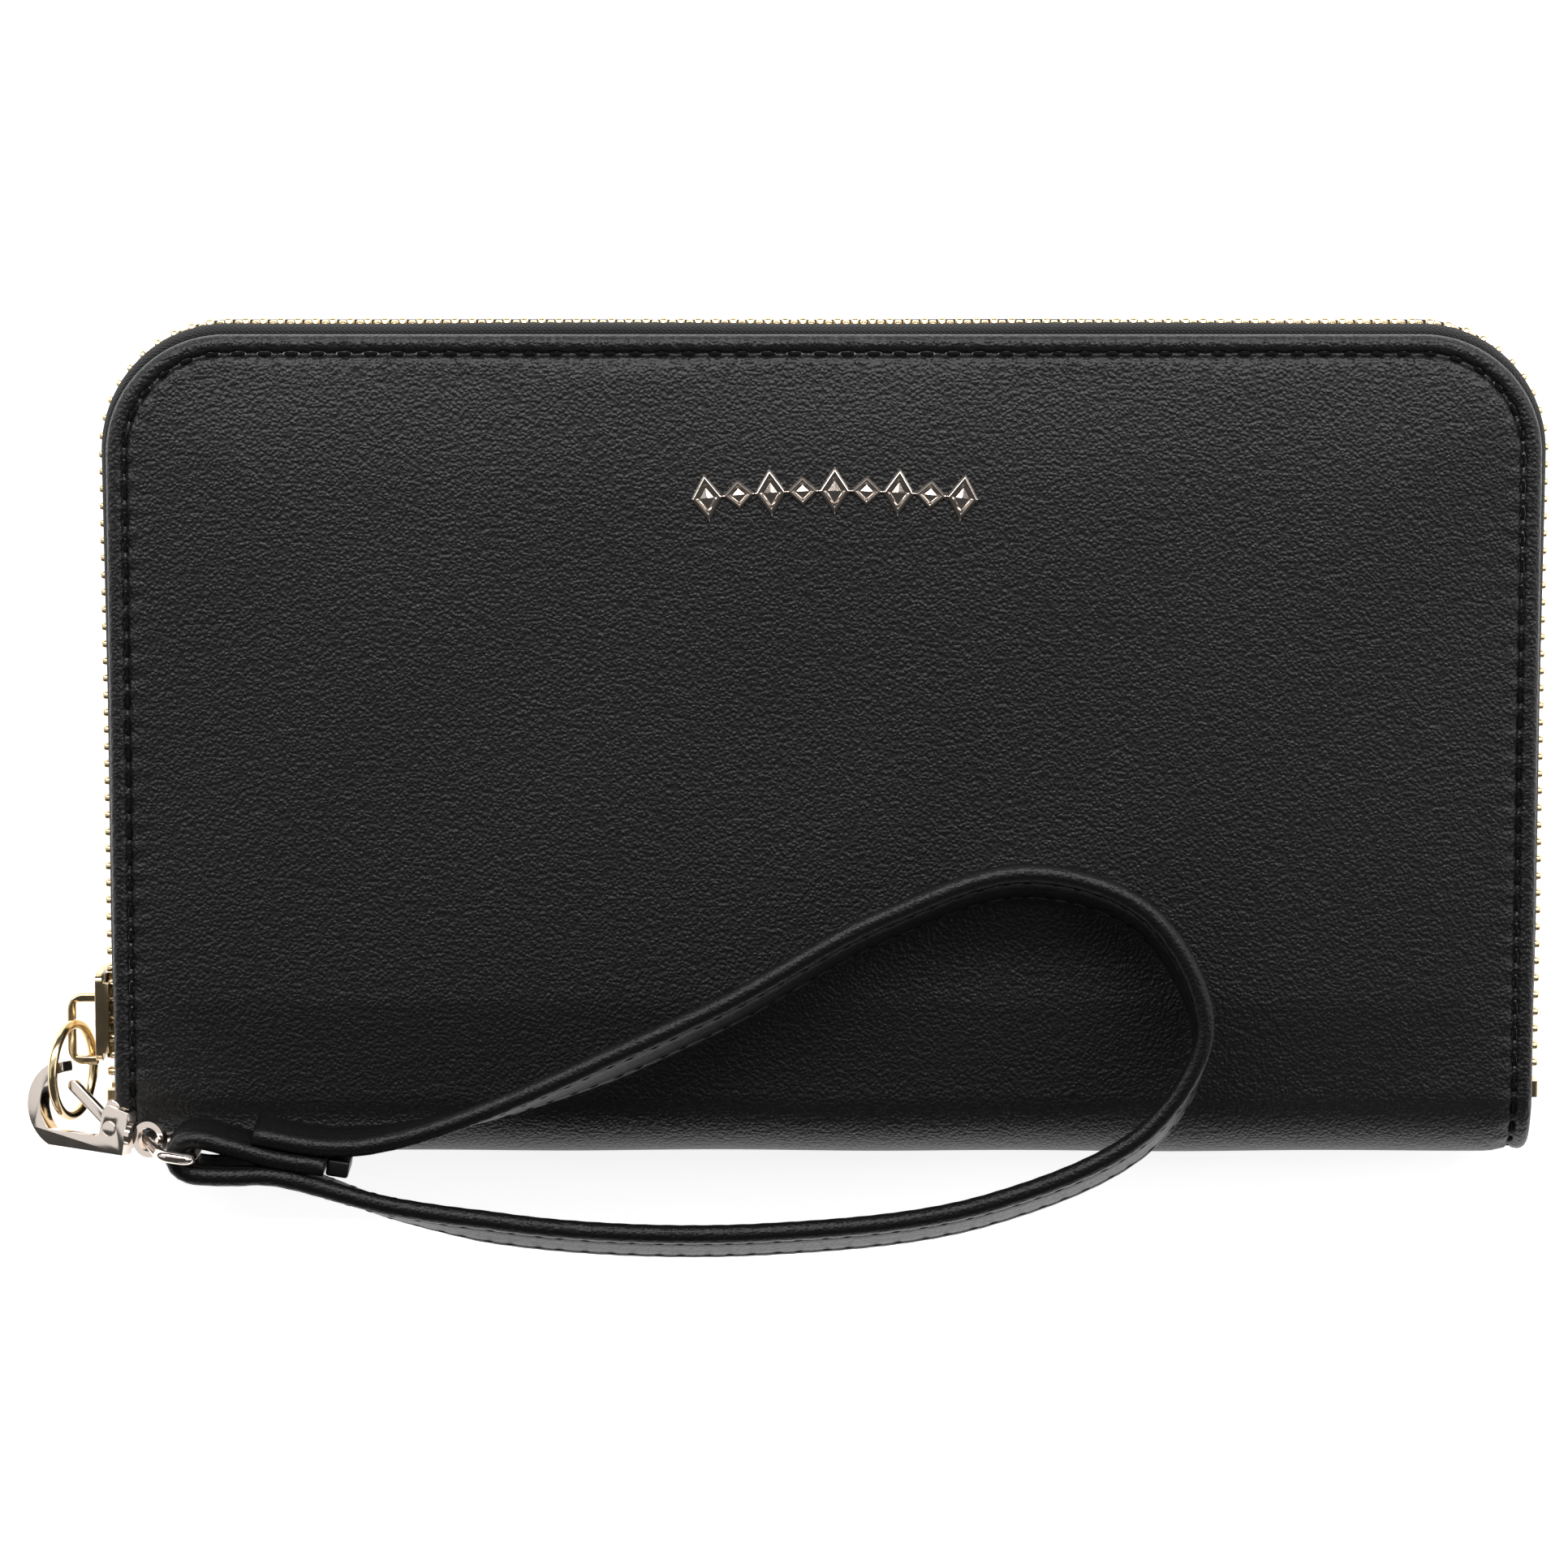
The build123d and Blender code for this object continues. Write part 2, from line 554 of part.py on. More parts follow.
def at_fold(along, aside):
    spot = fold_plane.from_local_coords(Vector(along, aside, 0))
    return (spot.X, spot.Y)


# the loop's route, right of the left edge and above the spine's bend
LOOP = [
    (38.75, -14.8), (59.25, -18.2), (87.25, -18.8), (117.25, -14.8),
    (138.75, -4.4), (145.55, 9.3), (137.75, 24.4), (121.95, 29.5),
    (103.25, 23.6), (81.25, 11.6), (57.25, 1.0), (39.25, -4.6),
]
loop_points = [(LEFT + x, SPINE_Y + y) for x, y in LOOP]


def beside(line, aside, count=40):
    """Points beside a curve in the XY plane, aside to its left."""
    points = []
    for n in range(count + 1):
        heading = line % (n / count)
        points.append(line @ (n / count) + Vector(-heading.Y, heading.X, 0) * aside)
    return points


with BuildPart() as strap_band:
    strap_low = Plane.XY.offset(STRAP_Z - STRAP_WIDE / 2)
    with BuildSketch(strap_low):
        with BuildLine():
            Line(at_fold(FOLD_LONG, LAYER), at_fold(POCKET_LONG, LAYER))
            Line(at_fold(POCKET_LONG, LAYER), at_fold(0, FOLD_R))
            ThreePointArc(at_fold(0, FOLD_R), at_fold(-FOLD_R, 0), at_fold(0, -FOLD_R))
            Line(at_fold(0, -FOLD_R), at_fold(POCKET_LONG, -LAYER))
        trace(line_width=STRAP_THICK)
        with BuildLine():
            loop_line = Spline(
                at_fold(POCKET_LONG - 1, -LAYER),
                *loop_points,
                at_fold(FOLD_LONG, 3 * LAYER),
                at_fold(END_B, 3 * LAYER),
                mode=Mode.PRIVATE,
            )
            left = beside(loop_line, STRAP_THICK / 2)
            right = beside(loop_line, -STRAP_THICK / 2)
            Spline(*left)
            Spline(*right)
            Line(left[0], right[0])
            Line(left[-1], right[-1])
        make_face()
    extrude(amount=STRAP_WIDE)
save(strap_band, "strap_band")

with BuildPart() as strap_spacer:
    with BuildSketch(Plane.XY.offset(STRAP_Z - STRAP_WIDE / 2 + SPACER_SHY)):
        Polygon(
            at_fold(FOLD_LONG + 0.2, 0.2),
            at_fold(FOLD_LONG + 3.2, 0.2),
            at_fold(FOLD_LONG + 3.2, 2 * LAYER - 0.2),
            at_fold(FOLD_LONG + 0.2, 2 * LAYER - 0.2),
            align=None,
        )
    extrude(amount=STRAP_WIDE - 2 * SPACER_SHY)
save(strap_spacer, "strap_spacer")
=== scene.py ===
# %% [markdown]
# # A zip-around wallet
# The wallet is one long padded cover, folded round a spine and closed on its other
# three sides by a zip. A strap on a swivel clasp hangs from the zip's slider.
# The hard pieces arrive already modelled and jointed. This lesson adds what a
# drawing office leaves out: the leather's skin, its seams, the woven tape and the
# finish of each metal. Everything is in metres, and most sizes are read from the
# frame, so the soft pieces always meet the hard ones.

# %% Load the frame
import json
import math
import random

import bmesh
import bpy
import numpy as np
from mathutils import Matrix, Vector


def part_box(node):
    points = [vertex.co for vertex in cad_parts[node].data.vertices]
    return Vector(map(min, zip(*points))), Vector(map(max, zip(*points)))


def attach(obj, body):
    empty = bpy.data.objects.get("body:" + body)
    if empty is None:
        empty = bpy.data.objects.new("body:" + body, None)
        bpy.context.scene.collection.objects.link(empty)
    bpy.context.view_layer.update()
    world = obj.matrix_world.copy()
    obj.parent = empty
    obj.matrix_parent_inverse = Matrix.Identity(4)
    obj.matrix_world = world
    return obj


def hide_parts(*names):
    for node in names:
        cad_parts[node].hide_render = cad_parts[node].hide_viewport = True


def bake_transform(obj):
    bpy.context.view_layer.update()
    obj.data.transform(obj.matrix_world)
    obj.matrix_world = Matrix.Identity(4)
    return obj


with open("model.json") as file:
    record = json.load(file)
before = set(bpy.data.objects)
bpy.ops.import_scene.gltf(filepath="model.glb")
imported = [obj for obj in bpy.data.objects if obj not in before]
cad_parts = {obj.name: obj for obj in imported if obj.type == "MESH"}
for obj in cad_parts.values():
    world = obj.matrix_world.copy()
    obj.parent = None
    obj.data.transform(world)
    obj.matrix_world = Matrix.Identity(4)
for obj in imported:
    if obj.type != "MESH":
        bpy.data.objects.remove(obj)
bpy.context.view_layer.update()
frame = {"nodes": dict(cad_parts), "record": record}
MM = 0.001

# %% [markdown]
# ## Sizes come from the frame
# A maker cuts the soft pieces to fit the hard ones. The sizes could be typed in
# again, but then the two would drift apart, so they are measured from the pieces
# that are already there. The cover is planned flat: two straight panels, joined by
# the half circle of the spine.

# %% Sizes read from the frame
cover_low, cover_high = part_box("front_leather")
LEFT, RIGHT = cover_low.x, cover_high.x
TOP, SPINE = cover_high.y, cover_low.y
THICK = cover_high.z
MID = THICK / 2
SPINE_Y = SPINE + MID
FLAT = TOP - SPINE_Y
ARC = math.pi * MID
LONG = 2 * FLAT + ARC
WIDE = RIGHT - LEFT
CORNER = 16 * MM
ZIP_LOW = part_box("zip_top_stop_front")[0].y
print(f"cover {WIDE / MM:.1f} x {(TOP - SPINE) / MM:.1f} x {THICK / MM:.1f} mm")

# %% [markdown]
# ## Camera first
# A long lens, nearly straight above, keeps the outline square, where a short one
# would spread the sides. The camera leans a few degrees towards the zip, which lets
# the teeth show along the top edge.

# %% Camera
VIEW_WIDE = 209.8 * MM
LENS, SENSOR = 150.0, 36.0
LEAN = math.radians(8.0)
AIM_X, AIM_Y = -5.3 * MM, -5.75 * MM
look_at = Vector((AIM_X, AIM_Y, THICK * 0.85))
reach = VIEW_WIDE * LENS / SENSOR
camera = bpy.data.objects.new("camera", bpy.data.cameras.new("camera"))
camera.data.lens, camera.data.sensor_width = LENS, SENSOR
camera.data.clip_start, camera.data.clip_end = 0.01, 10
away = Vector((0, math.sin(LEAN), math.cos(LEAN)))
camera.location = look_at + away * reach
camera.rotation_euler = (-LEAN, 0, 0)
bpy.context.scene.collection.objects.link(camera)
bpy.context.scene.camera = camera
print("camera", [round(c, 3) for c in camera.location])

# %% [markdown]
# ## Materials are small graphs
# Each finish below is a Principled shader fed by a few pattern nodes. Helpers keep
# the graphs short: `node` adds a node and wires its inputs, `finish` starts a
# material, and `noise` and `bumped` add the two nodes that every finish needs.
# Patterns are measured in metres, so a grain that is half a millimetre across on
# the real hide is the same here.


# %% Helpers for node graphs
# A Mix node has a socket for each kind of value; these are its color ones.
MIX_FACTOR, MIX_DARK, MIX_LIGHT, MIX_COLOR = 0, 6, 7, 2


def node(material, kind, inputs=None, **settings):
    """Adds a node, sets its options, and fills or wires its inputs."""
    made = material.node_tree.nodes.new(kind)
    for name, value in settings.items():
        setattr(made, name, value)
    for name, value in (inputs or {}).items():
        if isinstance(value, bpy.types.NodeSocket):
            material.node_tree.links.new(value, made.inputs[name])
        else:
            made.inputs[name].default_value = value
    return made


def finish(name, color, roughness, metallic=0.0, specular=0.5):
    """A material with one Principled shader, and that shader."""
    material = bpy.data.materials.new(name)
    material.use_nodes = True
    shader = material.node_tree.nodes["Principled BSDF"]
    shader.inputs["Base Color"].default_value = (*color, 1)
    shader.inputs["Roughness"].default_value = roughness
    shader.inputs["Metallic"].default_value = metallic
    shader.inputs["Specular IOR Level"].default_value = specular
    return material, shader


def wire(material, socket, shader, name):
    material.node_tree.links.new(socket, shader.inputs[name])


def math_node(material, operation, first, second=None, third=None):
    made = node(material, "ShaderNodeMath", operation=operation)
    for place, value in enumerate((first, second, third)):
        if isinstance(value, bpy.types.NodeSocket):
            material.node_tree.links.new(value, made.inputs[place])
        elif value is not None:
            made.inputs[place].default_value = value
    return made.outputs[0]


def two_tone(material, factor, dark, light):
    """A color between dark and light, by a factor from a pattern."""
    mix = node(material, "ShaderNodeMix", data_type="RGBA")
    material.node_tree.links.new(factor, mix.inputs[MIX_FACTOR])
    mix.inputs[MIX_DARK].default_value = (*dark, 1)
    mix.inputs[MIX_LIGHT].default_value = (*light, 1)
    return mix.outputs[MIX_COLOR]


def ranged(material, value, low, high):
    """A pattern's 0 to 1, spread from low to high."""
    spread = {"Value": value, "To Min": low, "To Max": high}
    return node(material, "ShaderNodeMapRange", spread).outputs[0]


def noise(material, place, scale, detail):
    """An uneven pattern; the scale is its patches per metre."""
    wanted = {"Vector": place, "Scale": scale, "Detail": detail}
    return node(material, "ShaderNodeTexNoise", wanted)


def bumped(material, shader, height, strength, distance):
    """Tilts the surface by a height pattern."""
    wanted = {"Height": height, "Strength": strength, "Distance": distance}
    bump = node(material, "ShaderNodeBump", wanted)
    wire(material, bump.outputs[0], shader, "Normal")


print("helpers ready")


# %% [markdown]
# ## Leather
# The hide is pressed with a fine pebble: rounded cells about half a millimetre
# across, with narrow valleys between. A smooth Voronoi gives the cells, and two
# noises make them uneven and lay faint wrinkles over them. The valleys are a touch
# rougher than the tops, and their colour is darker as a painted shade, which is
# what makes leather look deep.


# %% Leather material
def vector_node(material, operation, first, second=None):
    """One step of vector arithmetic."""
    inputs = {0: first} if second is None else {0: first, 1: second}
    return node(material, "ShaderNodeVectorMath", inputs, operation=operation)


def leather_finish(
    name, tone, grain=0.48 * MM, depth=0.14 * MM, roughness=0.38, specular=0.44, coords="UV"
):
    material, shader = finish(name, (tone, tone, tone * 1.06), roughness, specular=specular)
    place = node(material, "ShaderNodeTexCoord").outputs[coords]
    warp = noise(material, place, 0.35 / grain, 2.0)
    shift = vector_node(material, "SUBTRACT", warp.outputs["Color"], (0.5, 0.5, 0.5))
    small = vector_node(material, "SCALE", shift.outputs[0])
    small.inputs["Scale"].default_value = grain * 1.2
    bent = vector_node(material, "ADD", place, small.outputs[0])
    cells = node(
        material,
        "ShaderNodeTexVoronoi",
        {"Vector": bent.outputs[0], "Scale": 1 / grain, "Smoothness": 0.3},
        feature="SMOOTH_F1",
    )
    fine = noise(material, place, 2.6 / grain, 3.0)
    broad = noise(material, place, 45.0, 2.0)
    dome = math_node(material, "SUBTRACT", 1.0, cells.outputs["Distance"])
    height = math_node(material, "MULTIPLY_ADD", fine.outputs[0], 0.25, dome)
    wrinkle = math_node(material, "MULTIPLY_ADD", broad.outputs[0], 0.5, height)
    bumped(material, shader, wrinkle, 1.0, depth)
    scatter_light = ranged(material, dome, roughness + 0.12, roughness - 0.03)
    wire(material, scatter_light, shader, "Roughness")
    # Painted shade: the colour darkens in the grain's valleys, where shade falls, times a slow
    # random tone from the broad noise.
    valley_shade_and_tone = math_node(material, "MULTIPLY", dome, broad.outputs[0])
    dark, light = tone * 0.7, tone * 1.5
    tones = two_tone(material, valley_shade_and_tone, (dark, dark, dark), (light, light, light * 1.05))
    wire(material, tones, shader, "Base Color")
    return material


cover_leather = leather_finish("cover_leather", 0.0042)
strap_leather = leather_finish(
    "strap_leather", 0.0035, grain=0.45 * MM, depth=0.07 * MM, roughness=0.36, specular=0.3
)
inner_leather = leather_finish("inner_leather", 0.006, coords="Object")
print("leathers:", cover_leather.name, strap_leather.name, inner_leather.name)


# %% [markdown]
# ## Thread, tape and lining
# Thread is twisted from plies, so a fine diagonal wave runs round it. Zip tape is a
# herringbone: slanted ribs that change direction every millimetre. The lining is a
# plain weave, two sets of ribs at right angles.


# %% Woven materials
RIB_TURN = 1.1 * MM  # how wide a herringbone's band is, before the ribs turn back


def ribs(material, along, period):
    """A soft wave, 0 to 1, with one crest per period."""
    turns = math_node(material, "MULTIPLY", along, 2 * math.pi / period)
    return math_node(material, "MULTIPLY_ADD", math_node(material, "SINE", turns), 0.5, 0.5)


def woven_finish(
    name, tone, period, herringbone=False, coords="UV", sheen=0.05, specular=0.2
):
    material, shader = finish(name, (tone, tone, tone * 1.05), 0.8, specular=specular)
    place = node(material, "ShaderNodeTexCoord").outputs[coords]
    axes = node(material, "ShaderNodeSeparateXYZ", {0: place})
    x, y = axes.outputs[0], axes.outputs[1]
    if herringbone:
        slant = math_node(material, "PINGPONG", y, RIB_TURN)
        one = ribs(material, math_node(material, "ADD", x, slant), period)
        two = ribs(material, y, period * 0.5)
    else:
        one = ribs(material, x, period)
        two = ribs(material, y, period)
    cloth = math_node(material, "MULTIPLY_ADD", two, 0.45, one)
    fuzz = noise(material, place, 5000.0, 2.0)
    height = math_node(material, "MULTIPLY_ADD", fuzz.outputs[0], 0.4, cloth)
    bumped(material, shader, height, 0.9, 0.12 * MM)
    dark, light = tone * 0.5, tone * 1.7
    tones = two_tone(material, cloth, (dark, dark, dark), (light, light, light * 1.04))
    wire(material, tones, shader, "Base Color")
    shader.inputs["Sheen Weight"].default_value = sheen
    shader.inputs["Sheen Roughness"].default_value = 0.5
    return material


tape_weave = woven_finish("tape_weave", 0.003, 0.75 * MM, herringbone=True)
lining_weave = woven_finish("lining_weave", 0.03, 0.5 * MM, coords="Object")
thread_twist = woven_finish(
    "thread_twist", 0.0035, 0.35 * MM, herringbone=True, sheen=0.0, specular=0.12
)
print("cloths:", tape_weave.name, lining_weave.name, thread_twist.name)


# %% [markdown]
# ## Metal, board and foam
# Plated zinc is smooth, but never perfectly: polishing leaves faint swirls, and
# fingers leave patches that scatter more light. So roughness comes from a noise,
# and a very weak bump bends the reflections.


# %% Metal and filling materials
def metal_finish(name, color, roughness):
    material, shader = finish(name, color, roughness, metallic=1.0)
    place = node(material, "ShaderNodeTexCoord").outputs["Object"]
    smears = noise(material, place, 450.0, 5.0)
    smeared = ranged(material, smears.outputs[0], roughness * 0.6, roughness * 1.6)
    wire(material, smeared, shader, "Roughness")
    polish = noise(material, place, 2500.0, 2.0)
    bumped(material, shader, polish.outputs[0], 0.12, 0.02 * MM)
    deep = tuple(c * 0.86 for c in color)
    wire(material, two_tone(material, smears.outputs[0], deep, color), shader, "Base Color")
    return material


def filling_finish(name, color, size):
    material, shader = finish(name, color, 0.9, specular=0.2)
    place = node(material, "ShaderNodeTexCoord").outputs["Object"]
    fibre = noise(material, place, 1 / size, 6.0)
    bumped(material, shader, fibre.outputs[0], 0.6, 0.1 * MM)
    dark = tuple(c * 0.75 for c in color)
    wire(material, two_tone(material, fibre.outputs[0], dark, color), shader, "Base Color")
    return material


gold = metal_finish("light_gold", (0.83, 0.66, 0.40), 0.18)
champagne = metal_finish("champagne_gold", (0.88, 0.78, 0.70), 0.12)
board_pulp = filling_finish("board_pulp", (0.45, 0.42, 0.36), 0.8 * MM)
foam = filling_finish("foam", (0.3, 0.3, 0.3), 0.5 * MM)
print("metals:", gold.name, champagne.name)

# %% [markdown]
# ## Dress the hard pieces
# Pieces whose shape is already right keep it and only change finish. Each node
# says which slot it belongs to in the record, so one table dresses them all.

# %% Finishes by slot
BY_SLOT = {
    "black_leather": inner_leather,
    "strap_edge": inner_leather,
    "thread": thread_twist,
    "foam": foam,
    "board": board_pulp,
    "lining": lining_weave,
    "zip_tape": lining_weave,
    "gold_metal": gold,
    "champagne_metal": champagne,
}
for piece in frame["record"]["subparts"]:
    mesh = frame["nodes"][piece["node"]].data
    mesh.materials.clear()
    mesh.materials.append(BY_SLOT[piece["material_slot"]])
    for face in mesh.polygons:
        face.material_index = 0

# %% [markdown]
# ## Take the sharpness off the castings
# A cast and tumbled clasp has no sharp edge, and it is the rounded edge that draws
# the bright line round a piece of hardware. Each casting is copied from the frame,
# its flat faces are made whole again, and a narrow bevel rounds what is left.


# %% Rounded castings
def softened(name, width, material):
    """A copy of a node with rounded edges, which takes its place."""
    source = frame["nodes"][name]
    shape = bmesh.new()
    shape.from_mesh(source.data)
    bmesh.ops.remove_doubles(shape, verts=shape.verts, dist=0.001 * MM)
    bmesh.ops.dissolve_limit(
        shape, angle_limit=math.radians(1), verts=shape.verts, edges=shape.edges
    )
    sharp = [
        edge
        for edge in shape.edges
        if edge.is_manifold and edge.calc_face_angle(0) > math.radians(35)
    ]
    bmesh.ops.bevel(
        shape, geom=sharp, offset=width, segments=3, profile=0.5, affect="EDGES",
        clamp_overlap=True,
    )
    mesh = bpy.data.meshes.new(f"soft_{name}")
    shape.to_mesh(mesh)
    shape.free()
    mesh.materials.clear()
    mesh.materials.append(material)
    mesh.polygons.foreach_set("use_smooth", [True] * len(mesh.polygons))
    mesh.polygons.foreach_set("material_index", [0] * len(mesh.polygons))
    mesh.set_sharp_from_angle(angle=math.radians(40))
    made = bpy.data.objects.new(f"soft_{name}", mesh)
    bpy.context.scene.collection.objects.link(made)
    made.matrix_world = source.matrix_world.copy()
    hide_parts(name)
    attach(made, BODY_OF[name])
    return made


bodies = frame["record"]["behaviour"]["bodies"]
BODY_OF = {held: body for body, nodes in bodies.items() for held in nodes}
for name, width, material in (
    ("clasp_hook", 0.28 * MM, champagne),
    ("clasp_gate", 0.2 * MM, champagne),
    ("clasp_rivet", 0.12 * MM, champagne),
    ("slider_body", 0.22 * MM, gold),
    ("slider_bail", 0.3 * MM, gold),
    ("strap_spacer", 0.4 * MM, strap_leather),
):
    made = softened(name, width, material)
    print(made.name, len(made.data.polygons), "faces")

# %% [markdown]
# ## One hide, folded round the spine
# The cover is a single sheet. Laid flat it is a long rectangle with four round
# corners, and folding it round the spine makes front, spine and back at once.
# So the mesh is planned on the flat sheet: `x` across, `s` along it, starting at
# the front's top edge, and `h` is the height off the sheet. `fold` bends it up.
# The back rests on a table, which presses its padding flat, so nothing there
# passes below zero.


# %% Fold the flat sheet
def fold(x, s, h):
    """A point of the flat sheet, h off its surface, on the folded wallet."""
    if s < FLAT:
        return Vector((x, TOP - s, THICK + h))
    if s < FLAT + ARC:
        angle = (s - FLAT) / MID
        reach_out = MID + h
        return Vector(
            (x, SPINE_Y - reach_out * math.sin(angle), MID + reach_out * math.cos(angle))
        )
    return Vector((x, SPINE_Y + s - FLAT - ARC, max(-h, 0)))


def build(name, points, faces, material, uvs=None, smooth=True):
    """A mesh object from points and faces, with a uv for each point if given."""
    mesh = bpy.data.meshes.new(name)
    mesh.from_pydata([tuple(p) for p in points], [], faces)
    if uvs is not None:
        layer = mesh.uv_layers.new(name="UVMap")
        index = np.zeros(len(mesh.loops), np.int32)
        mesh.loops.foreach_get("vertex_index", index)
        layer.data.foreach_set("uv", np.asarray(uvs, np.float32)[index].ravel())
    mesh.materials.append(material)
    if smooth:
        mesh.polygons.foreach_set("use_smooth", [True] * len(mesh.polygons))
    mesh.validate()
    made = bpy.data.objects.new(name, mesh)
    bpy.context.scene.collection.objects.link(made)
    return made


print("sheet", round(LONG / MM, 1), "mm long when flat")

# %% [markdown]
# ## Walk round the edge
# The rolled edge, the seam and the puckers all run parallel to the sheet's edge,
# so the outer 16 mm of the mesh is rings. `stations` walks round once: each stop
# has a base point on the inner rectangle and a direction pointing outwards, and a
# ring lies at base plus direction times what is left of the corner radius.

# %% Stations round the sheet
STEP = 0.8 * MM
SEAM = 2.5 * MM
columns = round((WIDE - 2 * CORNER) / STEP)
rows = round((LONG - 2 * CORNER) / STEP)
STEP_X = (WIDE - 2 * CORNER) / columns
STEP_S = (LONG - 2 * CORNER) / rows
TURN_STEPS = 22


def stations():
    """(column, row, outward x, outward s, distance walked along the seam)."""
    found = []
    walked = 0.0
    turn = (CORNER - SEAM) * math.pi / 2 / TURN_STEPS
    sides = (
        ([(i, 0) for i in range(columns + 1)], -90, STEP_X),
        ([(columns, j) for j in range(rows + 1)], 0, STEP_S),
        ([(i, rows) for i in range(columns, -1, -1)], 90, STEP_X),
        ([(0, j) for j in range(rows, -1, -1)], 180, STEP_S),
    )
    for stops, heading, step in sides:
        for number, (i, j) in enumerate(stops):
            angle = math.radians(heading)
            found.append((i, j, math.cos(angle), math.sin(angle), walked))
            walked += step if number < len(stops) - 1 else turn
        for k in range(1, TURN_STEPS):
            angle = math.radians(heading + 90 * k / TURN_STEPS)
            found.append((*stops[-1], math.cos(angle), math.sin(angle), walked))
            walked += turn
    return found, walked


stops, around = stations()
STITCH_ABOUT = 3.5 * MM
STITCHES = round(around / STITCH_ABOUT)
PITCH = around / STITCHES
print(len(stops), "stations,", STITCHES, "stitches of", round(PITCH / MM, 2), "mm")


# %% [markdown]
# ## The shape across the edge
# Reading inwards from the edge: the hide comes out from under the board, rolls
# over the rim, makes a small bead, dips where the thread pulls it down, and then
# climbs gently on to the padding. Between stitches the bead swells a little. A
# slow noise keeps the panel from looking machined.


# %% Height of the hide
def soft_noise(x, y, seed):
    """A slow, smooth unevenness between about -1 and 1."""
    rng = random.Random(seed)
    total = 0.0
    for k in range(5):
        angle, phase = rng.uniform(0, 6.3), rng.uniform(0, 6.3)
        rate = 2 * math.pi / (rng.uniform(28, 80) * MM)
        total += math.sin(rate * (x * math.cos(angle) + y * math.sin(angle)) + phase)
    return total / 3


def padding(inset):
    """How far the padded panel stands above the seam, by distance from the edge."""
    share = min(max(inset - 3 * MM, 0) / (20 * MM), 1)
    far = min(max(inset - 3 * MM, 0) / (46 * MM), 1)
    return -0.25 * MM + 0.85 * MM * (1 - (1 - share) ** 2) + 0.35 * MM * (1 - (1 - far) ** 2)


EDGE = (
    (4.0, -2.98),
    (0.9, -2.98),
    (0.3, -2.85),
    (0.05, -2.45),
    (0.0, -1.9),
    (0.0, -1.4),
    (0.08, -0.98),
    (0.3, -0.62),
    (0.62, -0.38),
    (1.0, -0.26),
    (1.4, -0.27),
    (1.75, -0.36),
    (2.05, -0.62),
    (2.25, -0.92),
    (2.45, -1.06),
    (2.65, -0.98),
    (2.85, -0.66),
    (3.15, -0.36),
    (3.7, -0.22),
    (4.6, 0),
    (5.8, 0),
    (7.4, 0),
    (9.4, 0),
    (11.6, 0),
    (13.8, 0),
)


PANEL_FROM = 4.5 * MM  # from here inwards the padding gives the height
BEND_BLEND = 12 * MM  # how soon the padding fades in beside the spine's bend


def hide_height(inset, height, walked):
    """Height at one point: the edge's own profile, or the padding further in."""
    if inset >= PANEL_FROM:
        height = padding(inset)
    wave = math.cos(2 * math.pi * walked / PITCH)
    pull = math.exp(-(((inset - SEAM) / (0.6 * MM)) ** 2))
    swell = math.exp(-(((inset - 3.5 * MM) / (0.9 * MM)) ** 2))
    pucker = wave * (0.26 * MM * pull + 0.1 * MM * swell)
    drift = math.exp(-(((inset - 5 * MM) / (3.5 * MM)) ** 2)) * soft_noise(walked, 0, 5)
    return height + pucker + 0.09 * MM * drift


def flatness(s):
    """0 round the spine's bend and 1 on the flat panels."""
    return min(max(abs(s - LONG / 2) - ARC / 2, 0) / BEND_BLEND, 1)


def unevenness(x, s):
    """What keeps the panels from looking machined."""
    return 0.12 * MM * soft_noise(x, s, 3)


print("the padding stands", round(padding(1) / MM, 2), "mm proud")


# %% [markdown]
# ## The hide itself
# The real cover is cut from one hide and turned over its boards. It could be three
# parts that meet at the spine, but joins would show there and gape when the front
# lifts. So it is one mesh, a grid on the inner rectangle with rings round it,
# folded round the spine.


# %% Build the cover
def cover_mesh():
    points, uvs, faces = [], [], []
    at = {}
    for i in range(columns + 1):
        for j in range(rows + 1):
            x, s = LEFT + CORNER + i * STEP_X, CORNER + j * STEP_S
            inset = min(x - LEFT, RIGHT - x, s, LONG - s)
            flat_share = flatness(s)
            lift = padding(inset) * flat_share + unevenness(x, s)
            at[i, j] = len(points)
            points.append(fold(x, s, lift))
            uvs.append((x, s))
    for i in range(columns):
        for j in range(rows):
            faces.append((at[i, j], at[i, j + 1], at[i + 1, j + 1], at[i + 1, j]))
    rings = []
    for inset, height in EDGE:
        ring = []
        for i, j, out_x, out_s, walked in stops:
            base_x, base_s = LEFT + CORNER + i * STEP_X, CORNER + j * STEP_S
            x = base_x + out_x * (CORNER - inset * MM)
            s = base_s + out_s * (CORNER - inset * MM)
            flat_share = flatness(s)
            lift = hide_height(inset * MM, height * MM, walked)
            if lift > 0:
                lift *= flat_share
            if inset * MM > PANEL_FROM:
                lift = min(lift, lift * flat_share) + unevenness(x, s)
            ring.append(len(points))
            points.append(fold(x, s, lift))
            uvs.append((x, s))
        rings.append(ring)
    rings.append([at[i, j] for i, j, *_ in stops])
    count = len(stops)
    for outer, inner in zip(rings, rings[1:]):
        for k in range(count):
            n = (k + 1) % count
            corners = [outer[k], inner[k], inner[n], outer[n]]
            face = tuple(dict.fromkeys(corners))
            if len(face) > 2:
                faces.append(face)
    return points, faces, uvs


points, faces, uvs = cover_mesh()
cover = build("cover_hide", points, faces, cover_leather, uvs)
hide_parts("front_leather", "back_leather")
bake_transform(cover)
print("cover hide:", len(points), "points")


# %% [markdown]
# ## Stitches
# Machine lockstitch shows as short bars of thread that sink into the leather at
# both ends. One bar is a bent capsule; the same capsule is set at each pitch along
# the seam, turned to follow it.


